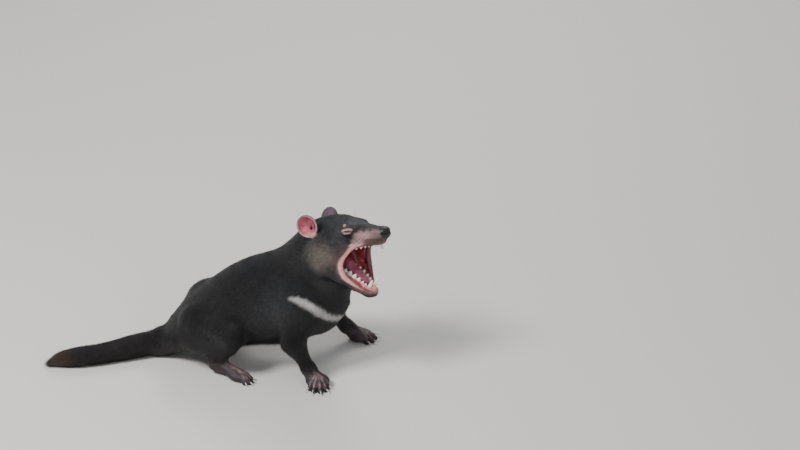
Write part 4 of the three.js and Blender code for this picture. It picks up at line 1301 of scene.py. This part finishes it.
def whisker_group(material):
    """A node group that grows one bent, tapering rod from each point."""
    group = bpy.data.node_groups.new("whiskers", "GeometryNodeTree")
    socket = group.interface.new_socket
    socket("Geometry", in_out="INPUT", socket_type="NodeSocketGeometry")
    radius = socket("Radius", in_out="INPUT", socket_type="NodeSocketFloat")
    seed = socket("Seed", in_out="INPUT", socket_type="NodeSocketInt")
    socket("Geometry", in_out="OUTPUT", socket_type="NodeSocketGeometry")

    def node(kind, settings=None, **links):
        made = group.nodes.new(kind)
        for key, value in (settings or {}).items():
            setattr(made, key, value)
        for key, value in links.items():
            key = key.replace("_", " ")
            target = made.inputs[int(key[1:]) if key[0] == "n" and key[1:].isdigit() else key]
            if isinstance(value, bpy.types.NodeSocket):
                group.links.new(value, target)
            else:
                target.default_value = value
        return made

    start = node("NodeGroupInput")
    line = node(
        "GeometryNodeCurveQuadraticBezier", Resolution=9, Start=(0, 0, 0), Middle=(0, 0, 0.5), End=(-0.16, 0, 1)
    )
    index = node("GeometryNodeInputIndex")
    along = node("ShaderNodeMath", {"operation": "DIVIDE"}, n0=index.outputs[0], n1=9.0)
    taper = node("ShaderNodeMath", {"operation": "SUBTRACT"}, n0=1.0, n1=along.outputs[0])
    shrunk = node("ShaderNodeMath", {"operation": "MAXIMUM"}, n0=taper.outputs[0], n1=0.08)
    length = node("GeometryNodeInputNamedAttribute", {"data_type": "FLOAT"}, Name="length")
    way = node("GeometryNodeInputNamedAttribute", {"data_type": "FLOAT_VECTOR"}, Name="way")
    turn_to = node("FunctionNodeAlignRotationToVector", {"axis": "Z"}, Vector=way.outputs["Attribute"])
    spin = node("FunctionNodeRandomValue", {"data_type": "FLOAT"}, Seed=start.outputs["Seed"])
    spin.inputs[2].default_value, spin.inputs[3].default_value = -0.5, 0.5
    euler = node("ShaderNodeCombineXYZ", Z=spin.outputs[1])
    turned_more = node("FunctionNodeRotateRotation", {"rotation_space": "LOCAL"})
    group.links.new(turn_to.outputs[0], turned_more.inputs[0])
    group.links.new(euler.outputs[0], turned_more.inputs[1])
    placed = node("GeometryNodeInstanceOnPoints", Points=start.outputs["Geometry"], Instance=line.outputs[0])
    group.links.new(turned_more.outputs[0], placed.inputs["Rotation"])
    whole = length.outputs["Attribute"]
    size = node("ShaderNodeCombineXYZ", X=whole, Y=whole, Z=whole)
    group.links.new(size.outputs[0], placed.inputs["Scale"])
    real = node("GeometryNodeRealizeInstances", Geometry=placed.outputs[0])
    profile = node("GeometryNodeCurvePrimitiveCircle", Resolution=5, Radius=start.outputs["Radius"])
    point = node("ShaderNodeMath", {"operation": "FLOORED_MODULO"}, n0=index.outputs[0], n1=10.0)
    group.links.new(point.outputs[0], along.inputs[0])
    rods = node("GeometryNodeCurveToMesh", Curve=real.outputs[0], Profile_Curve=profile.outputs[0])
    group.links.new(shrunk.outputs[0], rods.inputs["Scale"])
    rods.inputs["Fill Caps"].default_value = True
    finished = node("GeometryNodeSetMaterial", Geometry=rods.outputs[0], Material=material)
    group.links.new(finished.outputs[0], node("NodeGroupOutput").inputs[0])
    return group, radius.identifier, seed.identifier


hair_black = new_material("whisker", {"Base Color": WHISKER_BLACK, "Roughness": 0.4})[0]
group, radius_input, seed_input = whisker_group(hair_black)
grown = whiskers.modifiers.new("grown", "NODES")
grown.node_group = group
grown[radius_input], grown[seed_input] = WHISKER_RADIUS * MM, 3
plain = bpy.data.meshes.new_from_object(whiskers.evaluated_get(bpy.context.evaluated_depsgraph_get()))
whiskers.modifiers.remove(grown)
whiskers.data = plain
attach(whiskers, "root")
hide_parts("head")


# Coat: short black guard hair that lies flat from nose to tail and down the legs, in thin overlapping tufts.
# Each tuft is a closed three-sided blade rooted in the skin, coloured as the skin under it, with painted shade at
# its root and painted sheen towards its tip.
FLOWS = []  # starts and ends of the lines that the hair lies along, with how wide each reaches


def flow(points, reach, at=None, axes=None):
    points = np.array(points, float)
    if at is not None:
        points = out_of(points, at, axes)
    for a, b in zip(points[:-1], points[1:]):
        FLOWS.append((a, b, reach))


flow([(118, 0, 4), (92, 0, 16), (60, 0, 26), (25, 0, 34), (-12, 0, 30), (-50, 0, 10)], 26, HEAD_AT, HEAD_AXES)
for y in (-1, 1):
    cheek = [(116, 8 * y, 0), (84, 20 * y, 0), (52, 32 * y, -4), (20, 48 * y, -12), (-20, 48 * y, -26)]
    flow(cheek, 20, HEAD_AT, HEAD_AXES)
    flow([(62, 30 * y, -14), (36, 44 * y, -40), (4, 46 * y, -56), (-30, 40 * y, -60)], 20, HEAD_AT, HEAD_AXES)
    jaw_side = [(112, 6 * y, -28), (78, 24 * y, -30), (40, 34 * y, -32), (0, 38 * y, -26), (-30, 34 * y, -10)]
    flow(jaw_side, 18, JAW_AT, JAW_AXES)
flow([(114, 0, -30), (70, 0, -34), (30, 0, -36), (-5, 0, -30)], 16, JAW_AT, JAW_AXES)
back = [(-50, -8, 262), (-80, -4, 215), (-130, -2, 190), (-190, 0, 168)]
back += [(-250, 0, 130), (-300, 0, 78), (-330, 0, 40)]
flow(back, 40)
for y in (-1, 1):
    flow([(-40, 44 * y - 8, 205), (-78, 60 * y, 165), (-140, 66 * y, 130), (-200, 62 * y, 105)], 34)
    flow([(-14, 34 * y - 12, 175), (-24, 40 * y - 8, 130), (-50, 40 * y - 4, 75)], 26)
    flow([(-60, 30 * y, 56), (-120, 34 * y, 50), (-180, 36 * y, 48)], 26)
flow([(-2, -14, 160), (-10, -8, 120), (-34, -4, 72), (-80, 0, 50)], 26)
flow([t[:3] for t in TAIL], 24)
for leg in FORELEGS.values():
    flow([leg["shoulder"], leg["elbow"], leg["wrist"], leg["hand"]], 20)
for leg in HINDLEGS.values():
    outward = np.sign(leg["hip"][1])
    hip = np.array(leg["hip"]) + [0, 14 * outward, 20]
    flow([hip, hip + [6, 8 * outward, -50], np.array(leg["heel"]) + [0, 0, 8], leg["sole"]], 24)
for toes in TOES.values():
    for toe in toes:
        flow(toe, 7)


def lie_of_coat(points, normals):
    """Unit directions along the skin in which the hair lies."""
    total = np.zeros_like(points)
    for a, b, reach in FLOWS:
        along = b - a
        length = np.linalg.norm(along)
        t = np.clip((points - a) @ along / length**2, 0, 1)
        d = np.linalg.norm(points - a - t[:, None] * along, axis=1)
        total += ((reach / (d + 4)) ** 3)[:, None] * along / length
    swirl = np.stack([wander(points, 30, k) for k in (11, 12, 13)], axis=1)
    total = total / np.maximum(np.linalg.norm(total, axis=1, keepdims=True), 1e-9) + 0.22 * swirl
    total -= (total * normals).sum(axis=1)[:, None] * normals
    return total / np.maximum(np.linalg.norm(total, axis=1, keepdims=True), 1e-9)


def coat_plan(points):
    """For points on the skin: how many short tufts, how long and wide, how many long hairs among them, and how
    far the hair hangs."""
    h = into(points, HEAD_AT, HEAD_AXES)
    j = from_hinge(h)
    s = folded(h)
    count = np.full(len(points), 1.1)
    length = np.full(len(points), 7.6)
    width = np.full(len(points), 0.31)
    hairs = np.full(len(points), 0.10)
    hang = np.zeros(len(points))

    def region(mask, number, long, wide, more=0.0):
        mask = np.clip(mask, 0, 1)
        for values, target in ((count, number), (length, long), (width, wide), (hairs, more)):
            values += (target - values) * mask

    region(step_between(points[:, 2], 70, 42) * (points[:, 0] > -300), 1.2, 6.8, 0.29, 0.1)
    belly = step_between(points[:, 2], 66, 50) * step_between(np.abs(points[:, 0] + 130), 75, 50)
    belly *= step_between(np.abs(points[:, 1]), 80, 62)
    region(belly, 1.1, 9.5, 0.31, 1.0)
    hang += belly
    region(step_between(points[:, 0], -330, -360), 1.2, 8.0, 0.31, 0.3)
    region(step_between(points[:, 0], -425, -480), 1.3, 11.0, 0.3, 1.6)
    region(step_between(np.linalg.norm(h - [45, 0, -20], axis=1), 120, 80), 1.9, 5.0, 0.25, 0.03)
    ruff = about(s, [-8, 44, -45], [20, 24, 30])
    region(ruff, 1.5, 7.5, 0.28, 0.4)
    face = step_between(np.linalg.norm(h - [70, 0, 0], axis=1), 66, 44)
    region(face * step_between(h[:, 2], -34, -22), 3.0, 3.0, 0.19)
    region(step_between(h[:, 0], 66, 78) * step_between(h[:, 2], -25, -15), 3.0, 1.8, 0.14)
    region(step_between(j[:, 0], 66, 80) * step_between(h[:, 2], -50, -65) * (points[:, 2] > 130), 2.2, 2.8, 0.19)
    for sign in (-1, 1):
        at, axes = eye_frame(sign)
        q = into(h, at, axes)
        region(step_between(np.linalg.norm(q / [1.5, 1, 1], axis=1), 14, 9), 3.2, 1.7, 0.14)
        bare = step_between(np.hypot(q[:, 0] / 8.6, (q[:, 2] + 0.06 * q[:, 0]) / 4.6), 1.1, 0.9)
        count *= 1 - bare * step_between(q[:, 1], 0, 2)
    for side in ("right", "left"):
        at, axes, sign = ear_frame(side)
        q = into(h, at, axes) * [1, sign, 1]
        cup = ball(q, (0, 0, 0), (EAR_WIDTH / 2, EAR_DEPTH, EAR_HEIGHT / 2))
        near = step_between(np.linalg.norm(q, axis=1), 27, 23) * step_between(cup, 3, 1.5)
        region(near, 1.6, 1.5, 0.12)
        inside = near * step_between(cup, -EAR_WALL / 2 + 0.3, -EAR_WALL / 2 - 0.8)
        count *= 1 - 0.95 * inside
    for kind, side in TOES:
        leg = (FORELEGS if kind == "fore" else HINDLEGS)[side]
        ends = (leg["wrist"], leg["hand"]) if kind == "fore" else (leg["heel"], leg["sole"])
        off = bone(points, ends[0], 0, ends[1], 0)
        region(step_between(off, 46, 26) * step_between(points[:, 2], 60, 38), 1.7, 3.8, 0.24)
        region(step_between(off, 42, 34) * step_between(points[:, 2], 32, 22), 1.0, 1.7, 0.14)
    # None on the soles, nose, lips or in the mouth.
    mouth = np.maximum(step_between(mouth_hollow(h, j), 4.0, 2.4), within_mouth(h, j))
    mouth *= np.linalg.norm(h - [60, 0, -45], axis=1) < 75
    bare = np.maximum(mouth, step_between(nose_pad(h), 1.8, 1.0))
    bare = np.maximum(bare, step_between(lips(h), 0.6, 0.2) * step_between(h[:, 0] + 1.3 * h[:, 2], 74, 56))
    bare = np.maximum(bare, step_between(points[:, 2], 3.5, 1.5))
    return count * (1 - bare), length, width, hairs * (1 - bare), hang


def patch_on_unwrap(points, normals):
    """The place of skin points on a flat unwrap of the skin: each part of the body from each of six sides."""
    h = into(points, HEAD_AT, HEAD_AXES)
    j = from_hinge(h)
    head = np.linalg.norm(h - [50, 0, -25], axis=1) < 92
    lining = head & (mouth_hollow(h, j) < 1.6)
    jaw = head & (j[:, 2] < -2) & (h[:, 2] < -45)
    low = points[:, 2] < 78
    ahead = points[:, 0] > -168
    left = points[:, 1] > 0
    part = np.select(
        [lining, jaw, head, points[:, 0] < -322, low & ahead & left, low & ahead, low & left, low, ahead],
        range(9),
        9,
    )
    axis = np.abs(normals).argmax(axis=1)
    facing = axis * 2 + (np.take_along_axis(normals, axis[:, None], axis=1)[:, 0] > 0)
    cell = part * 6 + facing
    columns, rows = 8, 8
    flat = np.empty((len(points), 2))
    for m in range(3):
        chosen = axis == m
        flat[chosen] = np.delete(points[chosen], m, axis=1)
    for p in range(10):
        chosen = part == p
        if not chosen.any():
            continue
        for m in range(3):
            both = chosen & (axis == m)
            if both.any():
                lowest, highest = flat[both].min(axis=0), flat[both].max(axis=0)
                flat[both] = (flat[both] - lowest) / np.maximum(highest - lowest, 1)
    return (np.column_stack([cell % columns, cell // columns]) + 0.04 + 0.92 * flat) / [columns, rows]


corners = skin_points[skin_triangles]
face_area = np.linalg.norm(np.cross(corners[:, 1] - corners[:, 0], corners[:, 2] - corners[:, 0]), axis=1) / 2
plan = in_batches(lambda p: np.column_stack(coat_plan(p)), skin_points)
skin_normals = np.empty(3 * len(skin_points), np.float32)
skin.data.vertices.foreach_get("normal", skin_normals)
skin_normals = skin_normals.reshape(-1, 3).astype(float)


def coat_material():
    constants = {"Roughness": 0.48, "Specular IOR Level": 0.38, "Sheen Weight": 0.06, "Sheen Roughness": 0.4}
    material, principled, place = new_material("coat", constants)
    feed(principled, Base_Color=place.add("VertexColor", {"layer_name": "markings"}))
    return material


fur = coat_material()


def grow(name, number, pieces, density, longer, rings, seed):
    """Joined meshes of tufts with a triangle of points at the root and each ring, and one at the tip."""
    rng = np.random.default_rng(seed)
    chance = face_area * density[skin_triangles].mean(axis=1)
    picked = skin_triangles[rng.choice(len(skin_triangles), number, p=chance / chance.sum())]
    u, v = np.sqrt(rng.random(number)), rng.random(number)
    weights = np.column_stack([1 - u, u * (1 - v), u * v])
    carried = (skin_points, skin_normals, plan, skin_markings)
    roots, normals, at_root, tint = (np.einsum("tk,tkc->tc", weights, values[picked]) for values in carried)
    normals /= np.linalg.norm(normals, axis=1, keepdims=True)
    lie = lie_of_coat(roots, normals)
    aside = np.cross(normals, lie)
    stray = rng.normal(0, 0.15, number)[:, None]
    lie, aside = lie * np.cos(stray) + aside * np.sin(stray), aside * np.cos(stray) - lie * np.sin(stray)
    long = (at_root[:, 1] * longer * rng.uniform(0.7, 1.25, number))[:, None]
    wide = (at_root[:, 2] * rng.uniform(0.8, 1.2, number))[:, None]
    lift = (coat_depth(roots) * rng.uniform(0.55, 1.05, number) + 0.12)[:, None]
    hang = (at_root[:, 4] * rng.uniform(0.0, 0.75, number))[:, None] * long * [0, 0, 1]
    bend = rng.uniform(-0.12, 0.12, number)[:, None] * long * (rings > 0)
    points = np.empty((number, 4 + 3 * rings, 3))
    for ring in range(rings + 1):
        t = 0.45 * ring
        height = lift * (1 - (1 - t) ** 2.4) - 0.35 * (t == 0)
        centre = roots + lie * t * long + aside * t * t * bend + normals * height
        centre -= hang * t * t
        radius = wide * (1 - 0.25 * ring)
        for k, angle in enumerate((0.5, 2.6, 4.7)):
            up = (0.55 * normals + 0.35 * lie * (t == 0)) * math.sin(angle)
            points[:, 3 * ring + k] = centre + (aside * math.cos(angle) + up) * radius
    points[:, -1] = roots + lie * long + aside * bend + normals * lift - hang
    points[:, :, 2] = np.maximum(points[:, :, 2], FLOOR_TRIM + 0.02)
    faces = [(0, 2, 1)]
    for ring in range(rings):
        for k in range(3):
            a, b = 3 * ring + k, 3 * ring + (k + 1) % 3
            faces += [(a, b, b + 3), (a, b + 3, a + 3)]
    last = 3 * rings
    faces += [(last + k, last + (k + 1) % 3, last + 3) for k in range(3)]
    faces = np.array(faces)
    first, second, third = (points[0, faces[:, m]] - roots[0] for m in range(3))
    volume = np.einsum("fi,fi->", first, np.cross(second, third))
    if volume < 0:
        faces = faces[:, ::-1]
    t = np.append(np.repeat(0.45 * np.arange(rings + 1), 3), 1.0)
    # Painted shade and sheen: each tuft is darker at its root and paler towards its tip, and a little lighter or
    # darker at random.
    shade = tint[:, None, :3] * (rng.uniform(0.72, 1.3, (number, 1, 1)) * (0.6 + 0.65 * t)[None, :, None])
    shade = np.concatenate([np.clip(shade, 0.001, 0.95), np.ones((number, len(t), 1))], axis=2)
    # On the unwrap each tuft is one small patch, from its root's edge at the bottom to its tip at the top.
    patch = np.column_stack([np.append(np.tile([-1, 1, 0], rings + 1), 0), 2 * t - 1]) * 0.0015
    unwrap = patch_on_unwrap(roots, normals)[:, None] + patch[None]
    for k in range(pieces):
        chosen = np.arange(k, number, pieces)
        joined_faces = (faces[None] + len(t) * np.arange(len(chosen))[:, None, None]).reshape(-1, 3)
        piece = make_piece(f"{name}_{k + 1}", points[chosen].reshape(-1, 3), joined_faces, fur)
        put_colour(piece, shade[chosen])
        bake = piece.data.uv_layers.new(name="OFBake")
        bake.data.foreach_set("uv", unwrap[chosen].reshape(-1, 2)[joined_faces.ravel()].astype(np.float32).ravel())
        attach(piece, "root")
        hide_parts(*flesh)


grow("short_coat", 285000, 6, plan[:, 0], 1.0, 0, 20)
grow("long_coat", 24000, 2, plan[:, 3], 1.45, 1, 21)


# The floor and the studio light: a pale matt sheet, three large soft lamps and a pale sky. None of them is part
# of the animal.
FLOOR_PALE = (0.62, 0.6, 0.57, 1)
SKY_PALE = (0.9, 0.93, 1, 1)
floor_mesh = bpy.data.meshes.new("floor")
floor_mesh.from_pydata([(-8, -8, 0), (8, -8, 0), (8, 8, 0), (-8, 8, 0)], [], [(0, 1, 2, 3)])
floor = bpy.data.objects.new("floor", floor_mesh)
bpy.context.collection.objects.link(floor)
floor_mesh.materials.append(new_material("floor", {"Base Color": FLOOR_PALE, "Roughness": 0.8})[0])


def lamp(name, place, target, power, size):
    data = bpy.data.lights.new(name, "AREA")
    data.energy, data.size = power, size
    lamp_object = bpy.data.objects.new(name, data)
    lamp_object.location = place
    lamp_object.rotation_euler = (Vector(target) - Vector(place)).to_track_quat("-Z", "Y").to_euler()
    bpy.context.collection.objects.link(lamp_object)


lamp("key", (-1.3, -1.2, 2.3), (0, 0, 0.1), 92, 0.8)
lamp("fill", (1.8, -2.0, 1.3), (0, 0, 0.1), 22, 1.6)
lamp("rim", (0.3, 2.2, 2.0), (0, 0, 0.15), 36, 1.2)
world = bpy.data.worlds.new("studio")
world.use_nodes = True
world.node_tree.nodes["Background"].inputs["Color"].default_value = SKY_PALE
world.node_tree.nodes["Background"].inputs["Strength"].default_value = 0.45
bpy.context.scene.world = world
